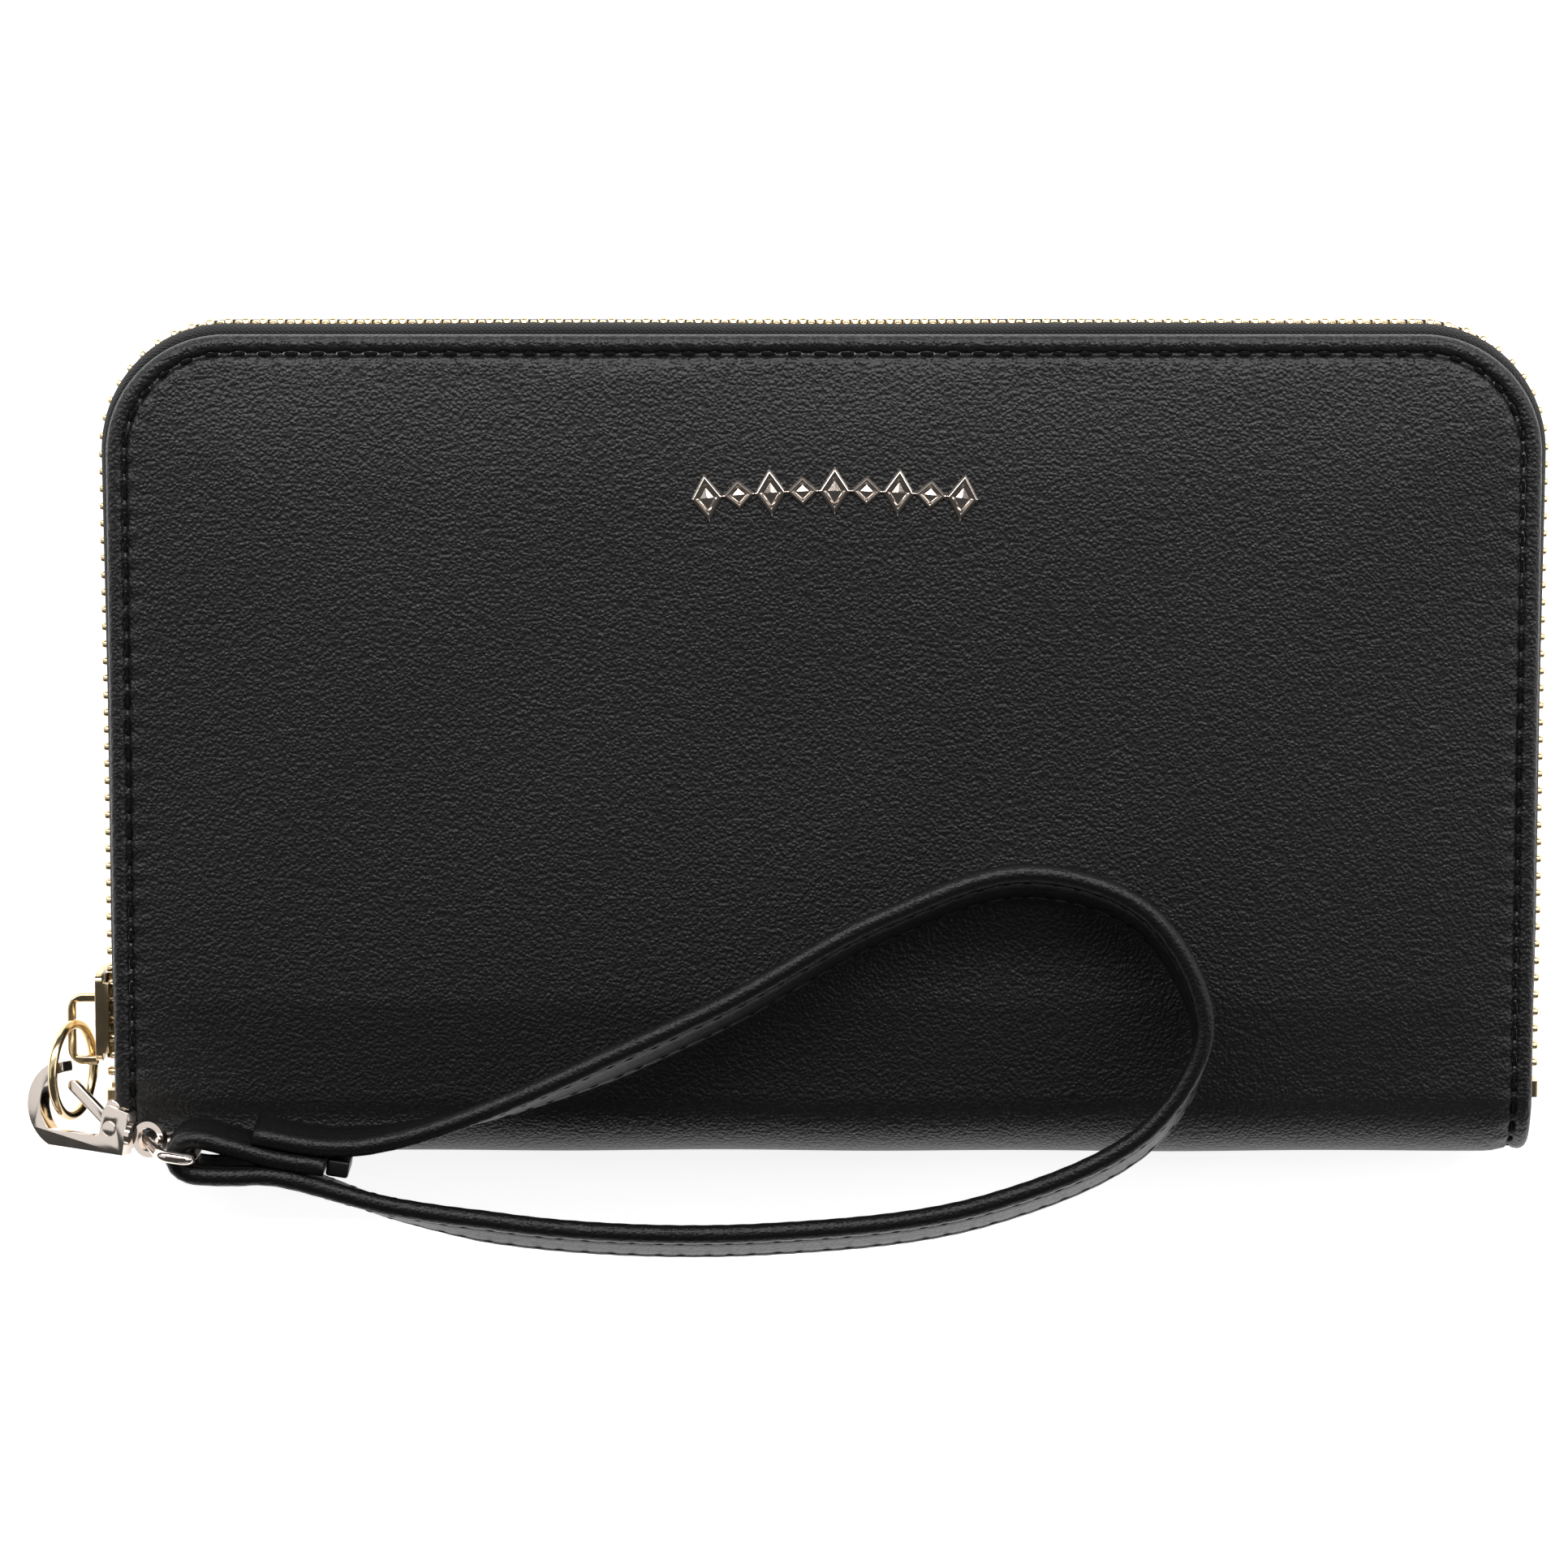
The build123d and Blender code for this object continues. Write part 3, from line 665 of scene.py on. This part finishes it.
# %% Capsules of thread
def capsule(length, radius, sides=8, rings=7):
    """Points along a short sagging bar, and the faces round it."""
    made, faces = [], []
    for r in range(rings):
        t = r / (rings - 1)
        along = (t - 0.5) * length
        swell = radius * math.sqrt(max(1 - (2 * t - 1) ** 4, 0.02))
        sink = -radius * 1.3 * (2 * t - 1) ** 2
        for k in range(sides):
            a = 2 * math.pi * k / sides
            made.append((along, math.cos(a) * swell, sink + math.sin(a) * swell))
    for r in range(rings - 1):
        for k in range(sides):
            n = (k + 1) % sides
            low, high = r * sides, (r + 1) * sides
            faces.append((low + k, high + k, high + n, low + n))
    faces.append(tuple(range(sides)))
    faces.append(tuple((rings - 1) * sides + k for k in reversed(range(sides))))
    return made, faces


def scatter(name, shape, places, material):
    """One mesh with a copy of shape at each place: (origin, along, up)."""
    bar, bar_faces = shape
    points, faces, uvs = [], [], []
    for origin, along, up in places:
        along = Vector(along).normalized()
        side = Vector(up).cross(along).normalized()
        up = along.cross(side)
        first = len(points)
        for x, y, z in bar:
            points.append(origin + along * x + side * y + up * z)
            uvs.append((x, y + z))
        faces.extend(tuple(first + f for f in face) for face in bar_faces)
    return build(name, points, faces, material, uvs)


print("one stitch has", len(capsule(1, 1)[0]), "points")

# %% [markdown]
# ## The seam round the cover
# One line of lockstitch runs all round the hide. It could be a pattern in the
# leather's material, but thread stands up and casts a shadow. So the bars are set
# one by one, at the distance and pitch that the hide's dips were given.

# %% Sew the cover's seam
walk = np.array([stop[4] for stop in stops])
seam_x = np.array([LEFT + CORNER + stop[0] * STEP_X + stop[2] * (CORNER - SEAM) for stop in stops])
seam_s = np.array([CORNER + stop[1] * STEP_S + stop[3] * (CORNER - SEAM) for stop in stops])
closed_walk = np.append(walk, around)
closed_x, closed_s = np.append(seam_x, seam_x[0]), np.append(seam_s, seam_s[0])


def on_seam(distance, height):
    """A point on the folded seam, by distance walked along it."""
    distance %= around
    x = np.interp(distance, closed_walk, closed_x)
    return fold(x, np.interp(distance, closed_walk, closed_s), height)


THREAD_DEPTH = -0.84 * MM


places = []
for k in range(STITCHES):
    here = (k + 0.5) * PITCH
    low = on_seam(here - 0.5 * MM, THREAD_DEPTH)
    high = on_seam(here + 0.5 * MM, THREAD_DEPTH)
    middle = on_seam(here, THREAD_DEPTH)
    outward = on_seam(here, 1 * MM) - middle
    places.append((middle, high - low, outward))
stitches = scatter("cover_stitches", capsule(2.2 * MM, 0.27 * MM), places, thread_twist)
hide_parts("front_seam", "back_seam")
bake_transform(stitches)
print("sewn", len(places), "stitches")


# %% [markdown]
# ## The zip's tape
# The tape is sewn under the rim and then turns to stand across the wallet's edge,
# bulging a little because it is longer than the gap it fills. It is a strip swept
# along the edge, and its uv runs along and across it, so that the herringbone
# follows the corners.


# %% Along the zip
def zip_at(run):
    """(x, y, outward x, outward y) on the edge, at a run along the zip from its left end."""
    straight = TOP - CORNER - ZIP_LOW
    bend = CORNER * math.pi / 2
    across = WIDE - 2 * CORNER
    if run < straight:
        return LEFT, ZIP_LOW + run, -1.0, 0.0
    run -= straight
    if run < bend:
        angle = math.pi - run / CORNER
        centre_x = LEFT + CORNER
    elif run < bend + across:
        return LEFT + CORNER + run - bend, TOP, 0.0, 1.0
    elif run < 2 * bend + across:
        angle = math.pi / 2 - (run - bend - across) / CORNER
        centre_x = RIGHT - CORNER
    else:
        return RIGHT, TOP - CORNER - (run - 2 * bend - across), 1.0, 0.0
    out_x, out_y = math.cos(angle), math.sin(angle)
    return centre_x + CORNER * out_x, TOP - CORNER + CORNER * out_y, out_x, out_y


def fullness(run):
    """How far the tape is pushed out: most along the top, nothing at its two ends."""
    from_end = min(run, ZIP_LONG - run)
    side = min(from_end / (24 * MM), 1)
    top = min(max((from_end - 55 * MM) / (50 * MM), 0), 1)
    return 0.3 + 0.3 * side + 0.4 * top


ZIP_LONG = 2 * (TOP - CORNER - ZIP_LOW) + CORNER * math.pi + WIDE - 2 * CORNER
TAPE = (
    (-4.0, 7.02),
    (-0.8, 7.0),
    (-0.1, 6.85),
    (0.45, 6.3),
    (0.85, 5.4),
    (1.1, 4.4),
    (1.2, 3.4),
    (1.1, 2.5),
    (0.8, 1.7),
)


def tape_strip(name, side):
    points, uvs, faces = [], [], []
    stops_along = round(ZIP_LONG / (1.0 * MM))
    for n in range(stops_along + 1):
        run = ZIP_LONG * n / stops_along
        x, y, out_x, out_y = zip_at(run)
        sway = 0.12 * soft_noise(run, side, 11)
        full = fullness(run)
        for k, (out, rise) in enumerate(TAPE):
            bulge = out * (full if out > 0 else 1) + (sway * full if 2 < k < 8 else 0)
            points.append((x + out_x * bulge * MM, y + out_y * bulge * MM, MID + side * rise * MM))
            uvs.append((run, k * 0.95 * MM))
    wide = len(TAPE)
    for n in range(stops_along):
        for k in range(wide - 1):
            face = (n * wide + k, (n + 1) * wide + k, (n + 1) * wide + k + 1, n * wide + k + 1)
            faces.append(face if side > 0 else face[::-1])
    strip = build(name, points, faces, tape_weave, uvs)
    skin = strip.modifiers.new("cloth", "SOLIDIFY")
    skin.thickness = 0.45 * MM
    skin.offset = -1
    return strip


for label, side in (("front", 1), ("back", -1)):
    strip = tape_strip(f"woven_tape_{label}", side)
    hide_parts(f"zip_tape_{label}")
    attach(strip, f"{label}_cover")
print("tape", round(ZIP_LONG / MM), "mm long")

# %% [markdown]
# ## Teeth
# A zip's tooth is pressed over the tape's corded edge: broad where it grips and
# narrow where it meshes. A box pushed towards a ball has both the flat faces and
# the soft corners of the plated piece. The two rows are half a pitch apart, and
# below the slider they part.


# %% Teeth
def soft_box(size, sides=12, rings=7, squareness=0.35):
    """A box with rounded corners: a ball whose sines are flattened."""
    made, faces = [], []

    def flatten(value):
        return math.copysign(abs(value) ** squareness, value)

    for r in range(rings):
        up = -math.pi / 2 + math.pi * r / (rings - 1)
        for k in range(sides):
            a = 2 * math.pi * (k + 0.5) / sides
            x = flatten(math.cos(up)) * flatten(math.cos(a))
            y = flatten(math.cos(up)) * flatten(math.sin(a))
            z = flatten(math.sin(up))
            made.append((x * size[0] / 2, y * size[1] / 2, z * size[2] / 2))
    for r in range(rings - 1):
        for k in range(sides):
            n = (k + 1) % sides
            low, high = r * sides, (r + 1) * sides
            faces.append((low + k, low + n, high + n, high + k))
    return made, faces


TOOTH_PITCH = 2.32 * MM
TOOTH = (2.5 * MM, 1.0 * MM, 2.6 * MM)
left_run = TOP - CORNER - ZIP_LOW
split_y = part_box("slider_body")[1].y - 5 * MM
FIRST_TOOTH = 0.6 * MM
PART_WIDE, PART_LONG = 1.6 * MM, 4 * MM


def tooth_places(side, first, last):
    found = []
    for k in range(int(ZIP_LONG / TOOTH_PITCH)):
        run = k * TOOTH_PITCH + (TOOTH_PITCH / 2 if side > 0 else 0) + FIRST_TOOTH
        if not first <= run < last:
            continue
        x, y, out_x, out_y = zip_at(run)
        below = split_y - y if run < left_run else 0
        parted = PART_WIDE * min(max(below / PART_LONG, 0), 1)
        rise = MID + side * (0.8 * MM + parted)
        outward = (0.2 + 0.35 * fullness(run) - (0.5 if side < 0 else 0)) * MM
        spot = Vector((x + out_x * outward, y + out_y * outward, rise))
        found.append((spot, (out_x, out_y, 0), (0, 0, side)))
    return found


tooth_shape = soft_box(TOOTH)
for label, side in (("front", 1), ("back", -1)):
    stretches = (("_left", 2.0 * MM, left_run), ("", left_run, ZIP_LONG - 3.5 * MM))
    for part, first, last in stretches:
        places = tooth_places(side, first, last)
        row = scatter(f"teeth_{label}{part}", tooth_shape, places, gold)
        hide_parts(f"zip_teeth_{label}{part}")
        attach(row, f"{label}_cover")
print("teeth per row:", int(ZIP_LONG / TOOTH_PITCH))

# %% [markdown]
# ## The wrist strap
# The strap is one band: its end folds round the ring's bar and is sewn down, and
# the loop's other end is laid on top. The band stands on its edge and leans, so
# one face shows. It is swept along a listed route: at each step the section's
# tall direction is up, tipped towards the zip, with whatever runs along the band
# taken away.

# %% The strap's route
band_low, band_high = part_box("strap_band")
STRAP_TALL = band_high.z - band_low.z
STRAP_MID = (band_low.z + band_high.z) / 2
STRAP_THICK = 2.5 * MM
ring_low, ring_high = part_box("d_ring")
HEADING = math.radians(-9.0)
ahead = Vector((math.cos(HEADING), math.sin(HEADING), 0))
aside = Vector((-ahead.y, ahead.x, 0))
RING_WIRE = 0.8 * MM  # radius of the ring's wire
BAR = Vector((ring_high.x - RING_WIRE - 0.02 * MM, ring_low.y + RING_WIRE, 0))
FOLD_R = RING_WIRE + 0.35 * MM + STRAP_THICK / 2
LAYER = STRAP_THICK / 2 + 0.1 * MM
POCKET, FOLDED, END_B = 11 * MM, 17.5 * MM, 7.5 * MM
LOOP = [
    (-56.5, -61.6),
    (-36, -65.0),
    (-8, -65.6),
    (22, -61.6),
    (43.5, -51.2),
    (50.3, -37.5),
    (42.5, -22.4),
    (26.7, -17.3),
    (8, -23.2),
    (-14, -35.2),
    (-38, -45.8),
    (-56, -51.4),
]


def at_fold(along, beside):
    return BAR + ahead * along + aside * beside


route = [at_fold(FOLDED, LAYER), at_fold(POCKET, LAYER), at_fold(POCKET * 0.5, FOLD_R * 0.8)]
for degrees_round in (90, 135, 180, 225, 270):
    a = math.radians(degrees_round)
    route.append(at_fold(FOLD_R * math.cos(a), FOLD_R * math.sin(a)))
route += [at_fold(POCKET * 0.5, -FOLD_R * 0.8), at_fold(POCKET, -LAYER)]
route += [Vector((x * MM, y * MM, 0)) for x, y in LOOP]
route += [at_fold(FOLDED, 3 * LAYER), at_fold(END_B, 3 * LAYER)]
print("route points:", len(route))


# %% [markdown]
# ## A smooth line through the points
# Leather bends without corners, and straight runs between the points would look
# like bent wire. A Bezier curve object would do too, but the section and the
# stitches need the heading and the length at every step, so the line is worked out
# here. A centripetal curve passes through every point, and doesn't loop where two
# points are close.


# %% A smooth line through the route
def smooth_line(route, step):
    """Points about step apart on a centripetal curve through the route."""
    ends = [2 * route[0] - route[1], *route, 2 * route[-1] - route[-2]]
    line = []
    for a, b, c, d in zip(ends, ends[1:], ends[2:], ends[3:]):
        t0, t1 = 0.0, (b - a).length ** 0.5
        t2 = t1 + (c - b).length ** 0.5
        t3 = t2 + (d - c).length ** 0.5
        count = max(int((c - b).length / step), 1)
        for n in range(count):
            t = t1 + (t2 - t1) * n / count
            ab = a.lerp(b, (t - t0) / (t1 - t0))
            bc = b.lerp(c, (t - t1) / (t2 - t1))
            cd = c.lerp(d, (t - t2) / (t3 - t2))
            left = ab.lerp(bc, (t - t0) / (t2 - t0))
            right = bc.lerp(cd, (t - t1) / (t3 - t1))
            line.append(left.lerp(right, (t - t1) / (t2 - t1)))
    return line + [route[-1].copy()]


line = smooth_line(route, 0.9 * MM)
walk_line = [0.0]
for a, b in zip(line, line[1:]):
    walk_line.append(walk_line[-1] + (b - a).length)
print("strap", round(walk_line[-1] / MM), "mm long")

# %% [markdown]
# ## The band's section
# A turned-edge strap is thickest near its edges, where the hide is doubled, and
# pinched where the thread runs. Its edges are full and round.


# %% Sweep the band
ROW_AT = 0.635  # where the rows of thread run, as a share of half the width
FLAT_LEAN = math.radians(24)  # how far the band tips where nothing holds it


def band_section():
    """(across the thickness, up the width) points of the section."""
    half_thick, half_tall = STRAP_THICK / 2, STRAP_TALL / 2
    face = [
        (half_thick * 0.98, -half_tall * 0.8),
        (half_thick * 0.98, -half_tall * 0.7),
        (half_thick * 0.8, -half_tall * ROW_AT),
        (half_thick * 0.96, -half_tall * 0.56),
        (half_thick * 0.93, -half_tall * 0.2),
        (half_thick * 0.93, half_tall * 0.2),
        (half_thick * 0.96, half_tall * 0.56),
        (half_thick * 0.8, half_tall * ROW_AT),
        (half_thick * 0.98, half_tall * 0.7),
        (half_thick * 0.98, half_tall * 0.8),
    ]
    crown = []
    for k in range(7):
        a = math.radians(15 + 150 * k / 6)
        rise = half_tall * 0.8 + half_tall * 0.2 * math.sin(a)
        crown.append((half_thick * math.cos(a), rise))
    other = [(-x, y) for x, y in reversed(face)]
    foot = [(-x, -y) for x, y in crown]
    return face + crown + other + foot


def band_frame(n):
    """Where the band is at a step: its middle, heading, tall direction and side."""
    before, after = line[max(n - 1, 0)], line[min(n + 1, len(line) - 1)]
    heading = (after - before).normalized()
    from_start = max(walk_line[n] - 30 * MM, 0)
    from_end = max(walk_line[-1] - 14 * MM - walk_line[n], 0)
    lean = FLAT_LEAN * min(min(from_start, from_end) / (35 * MM), 1)
    tall = Vector((0, math.sin(lean), math.cos(lean)))
    tall = (tall - heading * tall.dot(heading)).normalized()
    return Vector((line[n].x, line[n].y, STRAP_MID)), heading, tall, tall.cross(heading)


section = band_section()
girth = [0.0]
for a, b in zip(section, section[1:]):
    girth.append(girth[-1] + math.dist(a, b))
points, uvs, faces = [], [], []
STRAP_PITCH = 3.2 * MM
for n in range(len(line)):
    middle, heading, tall, side = band_frame(n)
    wave = 1 + 0.02 * math.cos(2 * math.pi * walk_line[n] / STRAP_PITCH)
    for (x, y), round_by in zip(section, girth):
        points.append(middle + side * x * wave + tall * y)
        uvs.append((walk_line[n], round_by))
around_band = len(section)
for n in range(len(line) - 1):
    for k in range(around_band):
        m = (k + 1) % around_band
        base, up = n * around_band, (n + 1) * around_band
        faces.append((base + k, base + m, up + m, up + k))
last_ring = (len(line) - 1) * around_band
faces.append(tuple(range(around_band)))
faces.append(tuple(last_ring + k for k in reversed(range(around_band))))
strap = build("wrist_strap", points, faces, strap_leather, uvs)
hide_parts("strap_band")
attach(strap, "strap")
print("strap mesh:", len(points), "points")

# %% [markdown]
# ## The strap's two rows of thread
# A turned-edge strap is sewn along both edges, and the thread shows on both faces.
# The cover's capsule does for it too, a little thinner and closer together, since a
# strap takes lighter thread. The rows sit where the section was pinched.

# %% Sew the strap
places = []
steps_walked = np.array(walk_line)
for k in range(int(walk_line[-1] / STRAP_PITCH)):
    here = (k + 0.5) * STRAP_PITCH
    n = int(np.argmin(abs(steps_walked - here)))
    middle, heading, tall, side = band_frame(n)
    for face_side in (-1, 1):
        for edge in (-1, 1):
            up = tall * (edge * STRAP_TALL / 2 * ROW_AT)
            out = side * (face_side * STRAP_THICK / 2 * 0.86)
            places.append((middle + up + out, heading, side * face_side))
strap_stitches = scatter("strap_stitches", capsule(2.2 * MM, 0.24 * MM), places, thread_twist)
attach(strap_stitches, "strap")
print("strap stitches:", len(places))

# %% [markdown]
# ## Folded gussets and the spine's lining
# A paper-fold strip closes each side of the inside, so that coins and cards stay in
# when the wallet opens. It is one strip of lining, creased four times. It is sewn to
# both covers. The spine's lining is a strip in the bend.

# %% Gussets and spine lining
FOLDS = 4
for side_name, sign in (("left", -1), ("right", 1)):
    low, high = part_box(f"gusset_{side_name}")
    deep = high.x - low.x - 0.4 * MM
    root = high.x if sign < 0 else low.x
    across, along = 24, 40
    points, uvs, faces = [], [], []
    for j in range(along + 1):
        y = low.y + (high.y - low.y) * j / along
        for k in range(across + 1):
            share = FOLDS * k / across
            saw = share % 2 if share % 2 <= 1 else 2 - share % 2
            soft = 0.5 - 0.5 * math.cos(math.pi * saw)
            x = root + sign * deep * (0.7 * saw + 0.3 * soft)
            points.append((x, y, low.z + (high.z - low.z) * k / across))
            uvs.append((j * 2 * MM, k * 0.8 * MM))
    for j in range(along):
        for k in range(across):
            a = j * (across + 1) + k
            faces.append((a, a + 1, a + across + 2, a + across + 1))
    strip = build(f"folded_gusset_{side_name}", points, faces, lining_weave, uvs)
    cloth = strip.modifiers.new("cloth", "SOLIDIFY")
    cloth.thickness, cloth.offset = 0.35 * MM, 0
    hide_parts(f"gusset_{side_name}")
    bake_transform(strip)

low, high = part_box("spine_lining")
lining_r = (high.z - low.z) / 2 - 0.25 * MM
points, uvs, faces = [], [], []
across, along = 32, 60
for j in range(along + 1):
    x = low.x + (high.x - low.x) * j / along
    for k in range(across + 1):
        a = math.pi * (0.5 + k / across)
        points.append((x, high.y + lining_r * math.cos(a), MID + lining_r * math.sin(a)))
        uvs.append((x, lining_r * a))
for j in range(along):
    for k in range(across):
        a = j * (across + 1) + k
        faces.append((a, a + across + 1, a + across + 2, a + 1))
bend = build("bent_spine_lining", points, faces, lining_weave, uvs)
cloth = bend.modifiers.new("cloth", "SOLIDIFY")
cloth.thickness, cloth.offset = 0.4 * MM, 0
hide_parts("spine_lining")
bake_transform(bend)
print("spine lining bent to", round(lining_r / MM, 1), "mm")

# %% [markdown]
# ## The front's ornament
# A row of lozenges on a gentle arch, tall and short by turns, tip to tip. Each has
# a raised rim round a sunk field with a low pyramid in it, so that it catches light
# on many slopes. A lozenge is a stack of rings with four corners each: the widest
# stands on the leather, and the narrower ones step in, down and up again.

# %% Ornament
plate_low, plate_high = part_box("ornament")
ARCH_R = 150 * MM
ORNAMENT_X = (plate_low.x + plate_high.x) / 2
ORNAMENT_TALL = 6.5 * MM
LOZENGES = 9
SPAN = plate_high.x - plate_low.x - 4.6 * MM
HALF_WIDE = 2.15 * MM
SHORT_SHARE = 0.62
base_z = THICK + 0.75 * MM
LOZENGE_STEPS = (
    (1.0, -0.6),
    (1.0, 0.3),
    (0.84, 0.6),
    (0.66, 0.6),
    (0.52, 0.25),
    (0.42, 0.25),
    (0.06, 0.55),
)
points, faces = [], []
for n in range(LOZENGES):
    angle = (n / (LOZENGES - 1) - 0.5) * SPAN / ARCH_R
    tall = ORNAMENT_TALL / 2 * (1.0 if n % 2 == 0 else SHORT_SHARE)
    drop = ORNAMENT_TALL / 2 + ARCH_R * (1 - math.cos(angle))
    centre = Vector((ORNAMENT_X + ARCH_R * math.sin(angle), plate_high.y - drop, 0))
    right = Vector((math.cos(angle), -math.sin(angle), 0))
    up = Vector((math.sin(angle), math.cos(angle), 0))
    first = len(points)
    for scale, rise in LOZENGE_STEPS:
        for dx, dy in ((HALF_WIDE, 0), (0, tall), (-HALF_WIDE, 0), (0, -tall)):
            spot = centre + right * dx * scale + up * dy * scale
            points.append(Vector((spot.x, spot.y, base_z + rise * MM)))
    for ring in range(len(LOZENGE_STEPS) - 1):
        for k in range(4):
            m = (k + 1) % 4
            a, b = first + ring * 4, first + (ring + 1) * 4
            faces.append((a + k, a + m, b + m, b + k))
    top_ring = first + 4 * (len(LOZENGE_STEPS) - 1)
    faces.append(tuple(top_ring + k for k in range(4)))
ornament = build("lozenge_ornament", points, faces, champagne, smooth=False)
rounding = ornament.modifiers.new("soft edges", "BEVEL")
rounding.width, rounding.segments = 0.09 * MM, 2
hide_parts("ornament")
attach(ornament, "front_cover")
print("lozenges:", LOZENGES)

# %% [markdown]
# ## Light and floor
# Black leather is shown by what it reflects. A wide soft light beyond the zip puts
# a slow gradient on the padded slope there, and a narrow one draws a bright line
# along the rolled rim. One at each side and a faint low one pick out the ends and
# the strap, and a dim surround keeps the rest nearly black. A single lamp would be
# simpler, but would leave most of the hide flat. The floor is pale and plain.


# %% Floor and lights
def soft_light(name, place, aim, wide, tall, power):
    """A white panel of light at a place, aimed at a point."""
    lamp = bpy.data.lights.new(name, "AREA")
    lamp.shape = "RECTANGLE"
    lamp.size, lamp.size_y = wide, tall
    lamp.energy = power
    made = bpy.data.objects.new(name, lamp)
    made.location = place
    made.rotation_mode = "QUATERNION"
    made.rotation_quaternion = (Vector(aim) - Vector(place)).to_track_quat("-Z", "Y")
    bpy.context.scene.collection.objects.link(made)


floor_material, floor_shader = finish("floor", (0.92, 0.92, 0.92), 0.9, specular=0.1)
floor_shader.inputs["Emission Color"].default_value = (1, 1, 1, 1)
floor_shader.inputs["Emission Strength"].default_value = 0.8
FLOOR_HALF = 2.5
corners = [(x * FLOOR_HALF, y * FLOOR_HALF, 0) for x, y in ((-1, -1), (1, -1), (1, 1), (-1, 1))]
floor = build("floor", corners, [(0, 1, 2, 3)], floor_material)
# name, place, aim, width, height, power
LIGHTS = (
    ("top_light", (0, 0.68, 1.0), (0, 0.05, 0), 2.0, 0.9, 3.6),
    ("edge_light", (0, 0.30, 0.34), (0, 0.05, 0.02), 1.3, 0.12, 4.2),
    ("left_light", (-0.85, 0.05, 0.6), (-0.05, 0, 0), 0.5, 0.8, 1.0),
    ("right_light", (0.85, 0.05, 0.45), (0.02, 0, 0), 0.4, 0.8, 1.6),
    ("low_light", (0.15, -0.8, 0.3), (0, -0.03, 0), 0.8, 0.2, 0.3),
)
for light in LIGHTS:
    soft_light(*light)
world = bpy.data.worlds.new("surround")
world.use_nodes = True
background = world.node_tree.nodes["Background"]
background.inputs["Color"].default_value = (1, 1, 1, 1)
background.inputs["Strength"].default_value = 0.06
bpy.context.scene.world = world
bpy.context.scene.view_settings.view_transform = "Standard"
print("lit by", len(LIGHTS), "lights")
